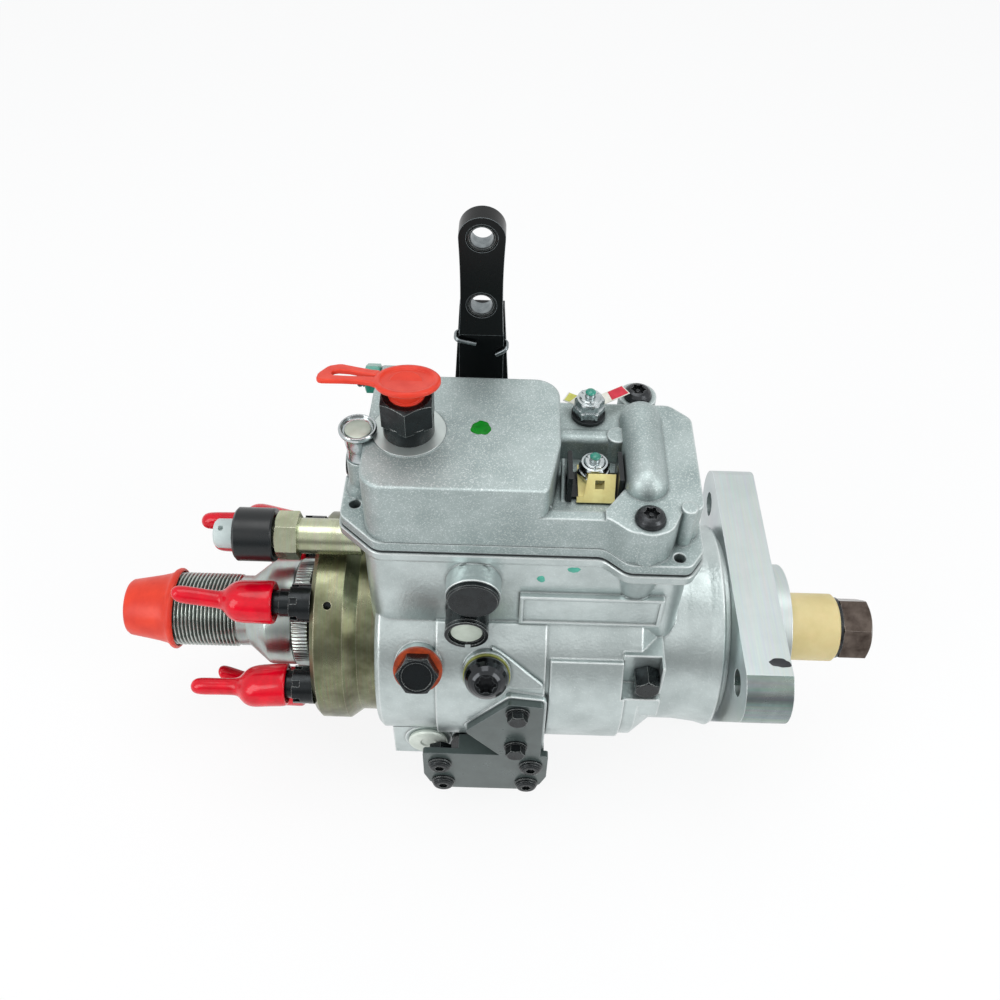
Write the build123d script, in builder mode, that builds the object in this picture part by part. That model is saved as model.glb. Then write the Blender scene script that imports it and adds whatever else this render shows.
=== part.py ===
from build123d import *
import math
import os

os.makedirs("parts", exist_ok=True)

# Rotary diesel injection pump, in millimetres.
# Frame: origin on the shaft axis at the flange's mounting face, +X out of the
# drive end, -Y towards the side with the plugs, +Z up.

# ---- clearances ----
fit_gap = 0.05          # radial, between fixed pieces that seat in each other
run_gap = 0.05          # radial, where one piece turns or slides in another
free_gap = 0.4          # between pieces of different bodies that only pass
seat = 0.02             # axial, under heads and faces that bear on each other

# ---- drive end: flange, pilot, shaft ----
flange_thickness = 19.0
stud_circle_radius = 57.15
stud_hole_radius = 5.75
flange_corner_radius = 16.0
flange_top_cut = 1.0    # the top edge is milled this far below the lobes' tangent
pilot_radius = 28.575
pilot_length = 11.0
seal_radius = 20.0
seal_length = 9.0
bearing_radius = 18.0
bearing_length = 20.0
bearing_left = -64.0
journal_radius = 12.5
shaft_small_radius = 9.0
taper_end_radius = 9.5
taper_end = 37.0
shaft_thread_radius = 8.0
shaft_end = 51.0
sleeve_radius = 15.6
sleeve_start = 11.8
sleeve_wall = 1.7
washer_radius = 14.0
washer_thickness = 1.6
nut_flats = 26.0
nut_length = 13.4
nut_turn = 11.0

# ---- barrel ----
barrel_radius = 50.8
barrel_left = -170.0
barrel_right = -58.0
neck_radius = 43.5
neck_left = -49.0
bell_radius = 46.0      # the neck opens into a bell behind the flange
bell_rim = -22.0
bell_groove_radius = 41.0

# ---- governor compartment on top of the barrel ----
wall_front = -31.0
wall_back = 32.0
wall_left = barrel_left - 2.0
wall_right = -43.0
wall_corner = 9.0
deck_z = 84.0           # joint face under the cover
ledge_depth = 4.0
ledge_reach = 0.9       # how far the housing's ledge stands past the cover
compartment_x = (wall_left + 12.0, -52.0)
compartment_y = (-25.0, 26.0)
compartment_floor = 10.0

# joint outline, seen from above, with the radius of each corner
joint_outline = [
    (wall_left - 9.3, -17.0), (wall_left + 5.5, -30.6), (-79.0, -30.6), (-70.0, -38.2), (-46.5, -38.2),
    (-41.0, -30.0), (-41.0, 38.0), (-47.0, 45.0), (-72.0, 45.0), (-80.0, 32.0),
    (wall_left + 8.0, 32.0), (wall_left - 9.3, 16.0),
]
joint_radii = [4.0, 7.0, 7.0, 7.0, 4.0, 5.0, 5.0, 5.0, 6.0, 5.0, 5.0, 5.0]
joint_inner_x = (wall_left + 14.0, -54.0)
joint_inner_y = (-23.0, 24.0)
gasket_thickness = 1.0

# ---- cover ----
cover_wall = 4.0
cover_flange = 4.6
cover_z = deck_z + gasket_thickness
cover_low_z = cover_z + 22.5
cover_top_z = cover_z + 35.0
cover_front = -30.3
cover_back = 31.5
cover_left = wall_left + 0.8
box_right = -96.7
box_top_round = 1.0
box_outline = [
    (cover_left, cover_front), (box_right - 5.0, cover_front), (box_right, -4.0), (box_right, cover_back),
    (cover_left + 1.4, cover_back),
]
box_radii = [10.0, 4.5, 14.0, 10.0, 10.0]
low_outline = [
    (box_right - 16.0, cover_front), (-79.0, cover_front), (-70.5, -37.3), (-56.5, -37.3), (-51.0, -25.2),
    (-43.0, -25.2), (-43.0, 24.0), (-51.5, cover_back), (box_right - 16.0, cover_back),
]
low_radii = [1.0, 6.0, 8.0, 8.0, 3.0, 4.0, 6.0, 5.0, 1.0]
pocket_z = cover_z + 13.0       # floor of the pocket round the lower terminal
sill_z = cover_low_z - 1.5
pocket_outline = [(box_right - 4.0, -26.0), (-79.5, -26.0), (-71.8, -15.0), (-71.8, 9.0), (box_right - 4.0, 9.0)]
rib_y = (8.5, 15.5)             # cast rib between the two terminals
rib_top = cover_low_z + 2.0
return_x, return_y = wall_left + 17.8, -0.5
return_boss_radius = 14.0
return_boss_height = 0.6
return_face_z = cover_top_z + return_boss_height
bulge_x = -64.0
bulge_radius = 8.2
bulge_axis_z = cover_low_z + 0.5
bulge_front, bulge_back = -13.5, 21.0
screw_places = [(-63.7, -30.4), (-63.8, 37.2)]
screw_boss_radius = 7.8
screw_radius = 3.0
screw_head_radius = 5.8
screw_head_height = 3.6
screw_length = 28.0
ear_holes = [(wall_left - 4.0, -11.3), (-50.5, -33.7)]
ear_hole_radius = 2.35
knob_x, knob_y, knob_radius = -48.8, -25.2, 3.0

seal_x, seal_y = wall_left - 1.2, -2.4
seal_base_z = cover_z + 23.0
seal_body_radius = 5.2
seal_rim = 12.6         # height of the rim's underside above the base
seal_rim_radius = 7.3
pillar_radius = 5.6
side_y, side_z = 9.0, cover_z + 7.0
side_face_x = wall_left - 5.2
side_boss_radius = 6.2
side_head_radius = 5.6

# ---- terminals ----
stud_places = [(-84.6, 24.3), (-83.0, -1.8)]
terminal_base = [cover_low_z, pocket_z]
stud_radius = 2.0
stud_top = 13.3                 # above the face that the insulator stands on
insulator_radius = 5.0
insulator_rim_radius = 6.8
insulator_rim = 1.6
tab_thickness = 1.0
lower_nut_flats, upper_nut_flats = 11.0, 10.4

# ---- throttle shaft ----
throttle_x, throttle_z = -128.5, 69.0
throttle_radius = 6.0
boss_radius = 11.0
boss_front_y = -(barrel_radius - 10.8)
boss_back_y = 39.0
plug_radius = 10.3
pivot_x, pivot_z = -131.0, 48.6
pivot_plug_radius = 8.9
pivot_front_y = -(barrel_radius - 8.3)
pivot_plug_length = 20.0
pivot_pin_radius = 3.0
pivot_pin_end = 29.5

# ---- lever ----
lever_y = 43.0
lever_thickness = 8.0
lever_width = 17.6
lever_waist = 0.6               # how far each side is drawn in at mid height
lever_top_hole_z = 176.2
lever_low_hole_z = 146.3
lever_bar_bottom = 131.7
bush_radius = 5.9
bush_bore = 4.15
bush_inset = 1.5                # each end of a bush stands this far inside the bar
arm_thickness = 4.0
arm_top = 140.0
channel_bottom, channel_top = 88.0, 131.4
channel_web = 2.0
channel_half = 9.0
# spring hooks: side, height round the web's edge, then the tip's place
hooks = [(-1, 128.9, -2.1, 127.1), (1, 124.6, 6.1, 121.8)]

# ---- radial screws in the barrel ----
lock_screw_x = barrel_left + 19.0
lock_screw_angle = 31.0
lock_boss_radius = 9.8
lock_boss_top = barrel_radius + 4.2
lock_thread_radius = 5.0
lock_washer_radius = 10.2
lock_flats = 15.4
lock_turn = 0.0
dome_x = -122.5
dome_angle = 29.5
dome_boss_radius = 10.2
dome_boss_top = barrel_radius + 4.8
dome_thread_radius = 7.0
dome_radius = 9.4
dome_washer_radius = 9.8
dome_height = 7.6
port_plug_x, port_plug_z = barrel_left + 21.0, -(barrel_radius - 14.8)
port_plug_radius = 9.0
port_boss_front = -(barrel_radius - 6.8)
pad_height = 2.0

# ---- pocket with a bolt, at the barrel's right end ----
pocket_bolt_x, pocket_bolt_z = -55.2, 20.7
pocket_bolt_flats = 10.0
pocket_bolt_head = 9.0
pocket_bolt_turn = 30.0
pocket_back_y = -41.0
bolt_pocket_x = (-65.5, -48.7)
bolt_pocket_z = (1.0, 33.0)
pocket_floor_z = pocket_bolt_z - 7.2

# ---- hydraulic head ----
head_left = barrel_left - 28.0
head_right = barrel_left + 28.0
head_radius = 47.3
head_neck_radius = 43.3
head_spigot_radius = 41.0
head_recess_radius = 21.0
rotor_radius = 8.0
metering_x = head_right - 8.0
metering_radius = 4.0
delivery_circle = 39.0
delivery_count = 6
holder_thread_radius = 5.5
holder_collar_radius = 8.2
holder_end_radius = 5.4
holder_end = 27.5

# ---- inlet end ----
thread_radius = 16.8
inlet_left = head_left - 70.0
inlet_bore = 12.0
inlet_hub_radius = 24.2
end_cap_radius = 24.8
seal_thickness = 5.0
inlet_cap_wall = 1.4

# ---- fuel line connector ----
line_y, line_z = -2.0, 58.0
line_radius = 6.8

# ---- cam and advance ----
cam_left, cam_right = -139.0, -115.0
cam_outer = 38.9
cam_inner = 28.6
cam_lobe = 2.4
roller_radius = 4.0
roller_circle = 24.2
advance_x, advance_z = -127.0, -(barrel_radius + 2.2)
advance_bore = 10.0
advance_boss = 13.5
advance_half = 36.0
advance_piston_half = 17.0
advance_pin_radius = 4.0

# ---- governor ----
cage_left, cage_right = -98.0, -68.0
cage_radius = 37.0
sleeve_ring_left = -107.0
arm_leg_right = sleeve_ring_left - 2.4
arm_leg_outer = 15.0
arm_leg_width = 3.0

# ---- bracket ----
lug_front = -(barrel_radius + 2.2)
bracket_thickness = 3.0
bracket_front = lug_front - bracket_thickness
bracket_left, bracket_right = -150.6, -94.0
shelf_z = -27.4
bracket_bottom = -60.0
gusset_outline = [(-131.5, -7.0), (-112.7, 16.4), (-98.0, 14.4), (-97.6, shelf_z - 3.0), (-113.5, shelf_z - 3.0)]
gusset_radii = [3.0, 2.0, 2.0, 1.0, 1.0]
lug_root = -0.7 * barrel_radius
lug_outline = gusset_outline[:3] + [(-97.6, shelf_z + 1.6), (-115.5, shelf_z + 1.6)]
bracket_screws = [(-143.0, -36.6), (-141.7, -53.3), (-101.6, -36.6), (-103.0, -53.3)]
bracket_screw_head = 5.4
gusset_bolts = [(-109.0, 9.8), (-109.0, -18.9)]


# ---- shapes used again and again ----
def axis_plane(origin, direction):
    # plane at origin whose normal is direction
    along = Vector(*direction).normalized()
    side = Vector(0, 1, 0) if abs(along.X) > 0.01 else Vector(1, 0, 0)
    return Plane(origin=origin, x_dir=side, z_dir=along)


def lathe(points, origin=(0, 0, 0), direction=(1, 0, 0), mode=Mode.ADD):
    # turns a closed profile of (distance along, radius) points about an axis
    along = Vector(*direction).normalized()
    side = Vector(0, 1, 0) if abs(along.X) > 0.01 else Vector(1, 0, 0)
    with BuildSketch(Plane(origin=origin, x_dir=along, z_dir=along.cross(side))) as profile:
        with BuildLine():
            Polyline(*points, close=True)
        make_face()
    revolve(profile.sketch, axis=Axis(origin, direction), mode=mode)


def front_plane(y):
    # faces the front; its own axes are +X and +Z
    return Plane.XZ.offset(-y)


def rod(origin, direction, radius, length, mode=Mode.ADD):
    with BuildSketch(axis_plane(origin, direction)) as disc:
        Circle(radius)
    extrude(disc.sketch, amount=length, mode=mode)


def hexagon(origin, direction, flats, length, turn=0.0, mode=Mode.ADD):
    with BuildSketch(axis_plane(origin, direction)) as face:
        RegularPolygon(flats / 2, 6, major_radius=False, rotation=turn)
    extrude(face.sketch, amount=length, mode=mode)


def hex_head(origin, direction, flats, length, turn=0.0, mode=Mode.ADD):
    # hexagon whose outer corners are turned down to a 30 degree bevel
    corner = flats / math.sqrt(3)
    bevel = (corner - 0.48 * flats) * math.tan(math.radians(30))
    with BuildPart(mode=Mode.PRIVATE) as head:
        hexagon(origin, direction, flats, length, turn)
        lathe([(0, 0), (0, corner), (length - bevel, corner), (length, 0.48 * flats), (length, 0)],
              origin, direction, mode=Mode.INTERSECT)
    add(head.part, mode=mode)


def six_lobe(origin, direction, radius, length, mode=Mode.SUBTRACT):
    # star recess with six round lobes
    with BuildSketch(axis_plane(origin, direction)) as star:
        Circle(0.78 * radius)
        with PolarLocations(0.78 * radius, 6):
            Circle(0.22 * radius)
    extrude(star.sketch, amount=length, mode=mode)


def block(x_range, y_range, z_range, mode=Mode.ADD):
    size = [b - a for a, b in (x_range, y_range, z_range)]
    middle = [(a + b) / 2 for a, b in (x_range, y_range, z_range)]
    with Locations(tuple(middle)):
        Box(*size, mode=mode)


def slab(x_range, y_range, z_range, corner, mode=Mode.ADD):
    # block with rounded upright edges
    with BuildSketch(Plane.XY.offset(z_range[0])) as face:
        with Locations(((x_range[0] + x_range[1]) / 2, (y_range[0] + y_range[1]) / 2)):
            RectangleRounded(x_range[1] - x_range[0], y_range[1] - y_range[0], corner)
    extrude(face.sketch, amount=z_range[1] - z_range[0], mode=mode)


def prism(plane, points, length, corners=0.0, grow=0.0, mode=Mode.ADD):
    # corners is one radius, a radius for each point, or 0 for a sharp outline
    with BuildSketch(plane) as face:
        with BuildLine():
            if corners:
                FilletPolyline(*points, radius=corners, close=True)
            else:
                Polyline(*points, close=True)
        make_face()
        if grow:
            offset(amount=grow)
    extrude(face.sketch, amount=length, mode=mode)


def arc_pad(x_range, z_range, radius, mode=Mode.ADD):
    # raised stretch of the barrel's front, as high as radius
    with BuildSketch(Plane.YZ.offset(x_range[0])) as face:
        Circle(radius)
        with Locations((-radius, (z_range[0] + z_range[1]) / 2)):
            Rectangle(radius * 1.2, z_range[1] - z_range[0], mode=Mode.INTERSECT)
    extrude(face.sketch, amount=x_range[1] - x_range[0], mode=mode)


def leaning_boss(foot, foot_radius, head, head_radius):
    # round boss that leans out and widens towards its head
    faces = []
    for (x, y, z), radius in ((foot, foot_radius), (head, head_radius)):
        with BuildSketch(Plane.XY.offset(z)) as disc:
            with Locations((x, y)):
                Circle(radius)
        faces.append(disc.sketch.face())
    loft(faces)


def ring_points(radius, count, first=0.0):
    turns = [math.radians(first + 360.0 * i / count) for i in range(count)]
    return [(radius * math.cos(t), radius * math.sin(t)) for t in turns]


def finish(piece, name):
    piece.part.label = name
    export_step(piece.part, "parts/" + name + ".step")


front = (0, -1, 0)
back = (0, 1, 0)
left = (-1, 0, 0)
right = (1, 0, 0)
up = (0, 0, 1)
down = (0, 0, -1)


def radial(angle):
    # direction square to the shaft, angle degrees above the front
    return (0, -math.cos(math.radians(angle)), math.sin(math.radians(angle)))


def along(x, direction, distance):
    return (x, direction[1] * distance, direction[2] * distance)


stud_holes = [
    (stud_circle_radius * math.sin(math.radians(120 * i)),
     -stud_circle_radius * math.cos(math.radians(120 * i)))
    for i in range(3)
]
flange_top = stud_circle_radius / 2 + flange_corner_radius - flange_top_cut
lock_dir = radial(lock_screw_angle)
lock_back_dir = radial(180 - lock_screw_angle)
dome_dir = radial(dome_angle)
# the six delivery holders, as (y, z), the first one straight to the front
delivery_places = [(-y, z) for y, z in ring_points(delivery_circle, delivery_count)]

# ======== main housing ========
with BuildPart() as main_housing:
    lathe([
        (barrel_left, 0), (barrel_left, barrel_radius - 2), (barrel_left + 2, barrel_radius),
        (barrel_right, barrel_radius), (neck_left, neck_radius), (bell_rim - 16, neck_radius),
        (bell_rim - 6, bell_radius - 1.4), (bell_rim - 1, bell_radius), (bell_rim, bell_radius - 0.6),
        (bell_rim, bell_groove_radius), (-flange_thickness + 1, bell_groove_radius),
        (-flange_thickness + 1, 0),
    ])
    with BuildSketch(Plane.YZ.offset(-flange_thickness)) as flange_face:
        with Locations(*stud_holes):
            Circle(flange_corner_radius)
        make_hull()
    extrude(amount=flange_thickness)
    block((-flange_thickness, 0), (-70, 70), (flange_top, flange_top + 5), mode=Mode.SUBTRACT)
    rod((0, 0, 0), right, pilot_radius, pilot_length)

    # governor compartment with its ledge, and a leaning boss under each cover screw
    slab((wall_left, wall_right), (wall_front, wall_back), (0, deck_z), wall_corner)
    prism(Plane.XY.offset(deck_z - ledge_depth), joint_outline, ledge_depth, joint_radii, ledge_reach)
    for (x, y), foot_y in zip(screw_places, (wall_front + 5.5, wall_back - 4)):
        leaning_boss((x, foot_y, 60), 7.0, (x, y, deck_z - ledge_depth), screw_boss_radius + 0.9)

    # pads, frame and bosses on the front
    arc_pad((-144, -98), (-34, 41.5), barrel_radius + pad_height)
    arc_pad((-96, -64), (-44, 30), barrel_radius + 0.8 * pad_height)
    block((-110, -52), (wall_front - 3.0, wall_front + 4), (44, 62))
    block((-108.4, -53.6), (wall_front - 4.0, wall_front - 2.2), (45.6, 60.4), mode=Mode.SUBTRACT)
    rod((throttle_x, -20, throttle_z), front, boss_radius, -20 - boss_front_y)
    rod((throttle_x, 20, throttle_z), back, boss_radius, boss_back_y - 20)
    for direction in (lock_dir, lock_back_dir):
        rod(along(lock_screw_x, direction, 40), direction, lock_boss_radius, lock_boss_top - 40)
    rod(along(dome_x, dome_dir, 40), dome_dir, dome_boss_radius, dome_boss_top - 40)
    prism(front_plane(lug_root), lug_outline, lug_root - lug_front, gusset_radii, 1.2)
    block((port_plug_x - 16, port_plug_x + 2), (port_boss_front + 0.6, -25), (port_plug_z - 14, port_plug_z + 9))
    rod((port_plug_x, -20, port_plug_z), front, port_plug_radius + 1.8, -20 - port_boss_front)

    # pocket for a bolt, open to the front and to the left
    block(bolt_pocket_x, (pocket_back_y, -28), bolt_pocket_z)
    block(bolt_pocket_x, (pocket_back_y - pocket_bolt_head, -30), (bolt_pocket_z[0], pocket_floor_z))
    block(bolt_pocket_x, (-60, pocket_back_y), (pocket_floor_z, bolt_pocket_z[1]), mode=Mode.SUBTRACT)
    block((bolt_pocket_x[1] - 1.2, bolt_pocket_x[1]), (pocket_back_y - 6, -30), bolt_pocket_z)

    # advance cylinder under the barrel
    rod((advance_x, advance_half, advance_z), front, advance_boss, 2 * advance_half)
    block((advance_x - advance_boss, advance_x + advance_boss), (-advance_half + 2, advance_half - 2),
          (advance_z, advance_z + 20))

    # bores
    lathe([
        (barrel_left - 20, 0), (barrel_left - 20, head_neck_radius + 0.3), (barrel_left, head_neck_radius + 0.3),
        (barrel_left, head_spigot_radius + fit_gap), (head_right, head_spigot_radius + fit_gap),
        (head_right, cam_outer + 0.1), (sleeve_ring_left - 5, cam_outer + 0.1), (sleeve_ring_left - 5, cage_radius + 3),
        (bearing_left, cage_radius + 3), (bearing_left, bearing_radius + fit_gap),
        (bearing_left + bearing_length, bearing_radius + fit_gap),
        (bearing_left + bearing_length, journal_radius + 1.0),
        (pilot_length - seal_length, journal_radius + 1.0), (pilot_length - seal_length, seal_radius + fit_gap),
        (pilot_length + 1, seal_radius + fit_gap), (pilot_length + 1, 0),
    ], mode=Mode.SUBTRACT)
    slab(compartment_x, compartment_y, (compartment_floor, deck_z + 1), 4, mode=Mode.SUBTRACT)
    for y, z in stud_holes:
        rod((-flange_thickness - 12, y, z), right, stud_hole_radius, flange_thickness + 13, mode=Mode.SUBTRACT)
    for x, y in screw_places:
        rod((x, y, deck_z - 12), up, screw_radius + fit_gap, 13, mode=Mode.SUBTRACT)
    rod((throttle_x, boss_front_y - 1, throttle_z), back, plug_radius + fit_gap, 4, mode=Mode.SUBTRACT)
    rod((throttle_x, boss_front_y, throttle_z), back, throttle_radius + run_gap, 90, mode=Mode.SUBTRACT)
    rod((pivot_x, pivot_front_y - 1, pivot_z), back, pivot_plug_radius + fit_gap, pivot_plug_length + 1,
        mode=Mode.SUBTRACT)
    rod((pivot_x, 20, pivot_z), back, pivot_pin_radius + fit_gap, 11, mode=Mode.SUBTRACT)
    for direction in (lock_dir, lock_back_dir):
        rod(along(lock_screw_x, direction, 36), direction, lock_thread_radius + fit_gap, 20, mode=Mode.SUBTRACT)
    rod(along(dome_x, dome_dir, 45), dome_dir, dome_thread_radius + fit_gap, 12, mode=Mode.SUBTRACT)
    rod(along(dome_x, dome_dir, dome_boss_top), dome_dir, dome_boss_radius, 14, mode=Mode.SUBTRACT)
    rod((port_plug_x, port_boss_front, port_plug_z), front, port_plug_radius + 1.6, 14, mode=Mode.SUBTRACT)
    rod((port_plug_x, port_boss_front - 1, port_plug_z), back, port_plug_radius - 2.5 + fit_gap, 10,
        mode=Mode.SUBTRACT)
    rod((pocket_bolt_x, pocket_back_y - 1, pocket_bolt_z), back, 3 + fit_gap, 12, mode=Mode.SUBTRACT)
    rod((wall_left - 1, line_y, line_z), right, 5 + fit_gap, 14, mode=Mode.SUBTRACT)
    rod((advance_x, advance_half + 1, advance_z), front, advance_bore, 2 * advance_half + 2,
        mode=Mode.SUBTRACT)
    block((advance_x - 6, advance_x + 6), (-13, 13), (advance_z + 5, -30), mode=Mode.SUBTRACT)
    for x, z in gusset_bolts:
        rod((x, lug_front - 1, z), back, 3 + fit_gap, 11, mode=Mode.SUBTRACT)
finish(main_housing, "main_housing")

# ======== joint gasket and cover ========
with BuildPart() as cover_gasket:
    prism(Plane.XY.offset(deck_z), joint_outline, gasket_thickness, joint_radii)
    slab(joint_inner_x, joint_inner_y, (deck_z - 1, deck_z + 2), 4, mode=Mode.SUBTRACT)
    for x, y in screw_places:
        rod((x, y, deck_z - 1), up, screw_radius + 0.4, 3, mode=Mode.SUBTRACT)
finish(cover_gasket, "cover_gasket")

with BuildPart() as governor_cover:
    # low deck with the lower terminal's pocket, its sill and the rib behind it
    prism(Plane.XY.offset(cover_z), low_outline, cover_low_z - cover_z, low_radii)
    for x, y in screw_places:
        rod((x, y, cover_z), up, screw_boss_radius, cover_low_z - cover_z)
    prism(Plane.XY.offset(pocket_z), pocket_outline, 20, 2.5, mode=Mode.SUBTRACT)
    block((box_right - 8, -80), (cover_front - 1, -25.5), (sill_z, cover_low_z + 1), mode=Mode.SUBTRACT)
    with BuildSketch(Plane.YZ.offset(box_right - 2.5)) as rib:
        with Locations(((rib_y[0] + rib_y[1]) / 2, (pocket_z - 2 + rib_top) / 2)):
            RectangleRounded(rib_y[1] - rib_y[0], rib_top - pocket_z + 2, 2.5)
    extrude(rib.sketch, amount=28)
    rod((-73.6, 10.9, pocket_z), up, 4.2, rib_top + 0.6 - pocket_z)
    prism(Plane.YZ.offset(-95.6), [(-15, pocket_z - 0.5), (-3, pocket_z + 9), (0, pocket_z + 9), (0, pocket_z - 0.5)],
          1.4)
    # tall box, then the flange round both
    prism(Plane.XY.offset(cover_z), box_outline, cover_top_z - cover_z, box_radii)
    fillet(governor_cover.edges().filter_by_position(Axis.Z, cover_top_z - 0.1, cover_top_z + 0.1), box_top_round)
    prism(Plane.XY.offset(cover_z), joint_outline, cover_flange, joint_radii)
    # bulge, knob, return boss, and the posts on the left wall
    rod((bulge_x, bulge_front, bulge_axis_z), back, bulge_radius, bulge_back - bulge_front)
    with Locations((bulge_x, bulge_front, bulge_axis_z), (bulge_x, bulge_back, bulge_axis_z)):
        Sphere(bulge_radius)
    rod((knob_x, knob_y, cover_z), up, knob_radius, cover_low_z + 1.5 - cover_z)
    rod((return_x, return_y, cover_top_z - 2), up, return_boss_radius, 2 + return_boss_height)
    lathe([(0, 0), (0, 7.5), (7, pillar_radius), (seal_base_z - cover_z - 3, pillar_radius),
           (seal_base_z - cover_z - 3, 0)], (seal_x, seal_y, cover_z + 3), up)
    rod((side_face_x, side_y, side_z), right, side_boss_radius, 9)
    # hollows, with a core left behind the seal cup
    prism(Plane.XY.offset(cover_z - 1), box_outline, cover_top_z - cover_wall - cover_z + 1, box_radii, -cover_wall,
          mode=Mode.SUBTRACT)
    slab((box_right - 14, wall_right - cover_wall), (cover_front + 9, cover_back - cover_wall),
         (cover_z - 1, pocket_z - 3), 6, mode=Mode.SUBTRACT)
    block((cover_left + 1, cover_left + 8), (seal_y - 8, seal_y + 8), (cover_z, cover_top_z - 1))
    rod((seal_x, seal_y, seal_base_z), up, seal_body_radius + 0.6, 20, mode=Mode.SUBTRACT)
    # holes, and a spot face round the side screw's head
    rod((side_face_x, side_y, side_z), left, side_head_radius + 0.4, 6, mode=Mode.SUBTRACT)
    for x, y in screw_places:
        rod((x, y, cover_z - 1), up, screw_radius + 0.3, 30, mode=Mode.SUBTRACT)
    for x, y in ear_holes:
        rod((x, y, cover_z - 1), up, ear_hole_radius, 40, mode=Mode.SUBTRACT)
    for x, y in stud_places:
        rod((x, y, pocket_z - 8), up, insulator_radius + fit_gap, 30, mode=Mode.SUBTRACT)
    rod((return_x, return_y, cover_top_z - 8), up, 6.0 + fit_gap, 12, mode=Mode.SUBTRACT)
    rod((seal_x, seal_y, seal_base_z - 5), up, 2.0 + fit_gap, 6, mode=Mode.SUBTRACT)
    rod((side_face_x - 1, side_y, side_z), right, 3.0 + fit_gap, 6, mode=Mode.SUBTRACT)
finish(governor_cover, "governor_cover")

with BuildPart() as cover_screws:
    for x, y in screw_places:
        lathe([
            (-screw_length, 0), (-screw_length, screw_radius), (seat, screw_radius), (seat, screw_head_radius),
            (0.9, screw_head_radius), (2.2, 5.2), (3.1, 4.2), (screw_head_height, 3.2), (screw_head_height, 0),
        ], (x, y, cover_low_z), up)
        six_lobe((x, y, cover_low_z + 1.4), up, 3.1, 3)
        rod((x, y, cover_low_z + 1.0), up, 0.8, 1.8)
finish(cover_screws, "cover_screws")

with BuildPart() as seal_cup:
    lathe([
        (-4, 0), (-4, 2.0), (seat, 2.0), (seat, seal_body_radius), (seal_rim, seal_body_radius),
        (seal_rim + 0.9, seal_rim_radius), (seal_rim + 2.7, seal_rim_radius), (seal_rim + 2.7, seal_rim_radius - 1),
        (seal_rim + 1.2, seal_rim_radius - 1.3), (seal_rim + 1.2, 0),
    ], (seal_x, seal_y, seal_base_z), up)
finish(seal_cup, "seal_cup")

with BuildPart() as side_screw:
    lathe([(-4, 0), (-4, 3.0), (seat, 3.0), (seat, side_head_radius), (3.0, side_head_radius),
           (4.0, side_head_radius - 0.8), (4.0, 0)], (side_face_x, side_y, side_z), left)
finish(side_screw, "side_screw")

# ======== fuel return fitting ========
with BuildPart() as return_fitting:
    lathe([
        (-7.6, 0), (-7.6, 6), (seat, 6), (seat, 9.7), (7.4, 9.7), (7.4, 0),
    ], (return_x, return_y, return_face_z), up)
    hex_head((return_x, return_y, return_face_z + 6.4), up, 19.0, 11.6, turn=30)
    rod((return_x, return_y, return_face_z - 9), up, 3.0, 30, mode=Mode.SUBTRACT)
    rod((return_x, return_y, return_face_z + 5.4), up, 7.0, 20, mode=Mode.SUBTRACT)
finish(return_fitting, "return_fitting")

cap_tilt = math.radians(15)
cap_up = (0, math.sin(cap_tilt), math.cos(cap_tilt))
cap_centre = (return_x + 0.5, return_y - 0.2, return_face_z + 23.9)
with BuildPart() as return_cap:
    rod((return_x, return_y, return_face_z + 8.4), up, 6.5, 15.0)
    lathe([(-1.5, 0), (-1.5, 11.5), (1.0, 12.1), (2.6, 11.7), (2.6, 9.6), (1.6, 9.2), (1.6, 0)],
          cap_centre, cap_up)
    with BuildSketch(Plane(origin=cap_centre, x_dir=(1, 0, 0), z_dir=cap_up)) as loop_face:
        with BuildLine():
            FilletPolyline((-33, 0), (-31, -3.1), (-21, -2.8), (-9, -6.5), (-9, 8), (-15, 8), (-22, 10.7),
                           (-28, 12.8), (-31, 8), radius=[1.5, 1.5, 4, 1, 1, 3, 3, 2, 3], close=True)
        make_face()
        with BuildLine():
            FilletPolyline((-28.5, 1.4), (-27, 6.6), (-24, 7.4), (-14, 4.9), (-14, 0.2), (-26, 0.2),
                           radius=1.0, close=True)
        make_face(mode=Mode.SUBTRACT)
    extrude(loop_face.sketch, amount=2.0)
finish(return_cap, "return_cap")

# ======== terminals ========
with BuildPart() as terminal_insulators:
    for (x, y), z in zip(stud_places, terminal_base):
        lathe([(-7, stud_radius + fit_gap), (-7, insulator_radius), (seat, insulator_radius),
               (seat, insulator_rim_radius), (insulator_rim, insulator_rim_radius),
               (insulator_rim, stud_radius + fit_gap)], (x, y, z), up)
finish(terminal_insulators, "terminal_insulators")

with BuildPart() as terminal_studs:
    for (x, y), z in zip(stud_places, terminal_base):
        lathe([(-9, 0), (-9, 4.6), (-7.1, 4.6), (-7.1, stud_radius), (stud_top - 0.7, stud_radius),
               (stud_top, stud_radius - 0.7), (stud_top, 0)], (x, y, z), up)
finish(terminal_studs, "terminal_studs")

# on each stud a wide nut, a washer and a narrower nut with a crown
nut_foot = [insulator_rim + seat, insulator_rim + tab_thickness + 2 * seat]
with BuildPart() as terminal_nuts:
    for (x, y), z, foot in zip(stud_places, terminal_base, nut_foot):
        hexagon((x, y, z + foot), up, lower_nut_flats, 5.4 - foot)
        rod((x, y, z + 5.3), up, 5.9, 0.8)
        hexagon((x, y, z + 6.0), up, upper_nut_flats, 3.5)
        lathe([(0, 0), (0, 4.3), (1.6, 3.7), (1.6, 0)], (x, y, z + 9.0), up)
        rod((x, y, z), up, stud_radius + fit_gap, 12, mode=Mode.SUBTRACT)
finish(terminal_nuts, "terminal_nuts")

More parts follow.
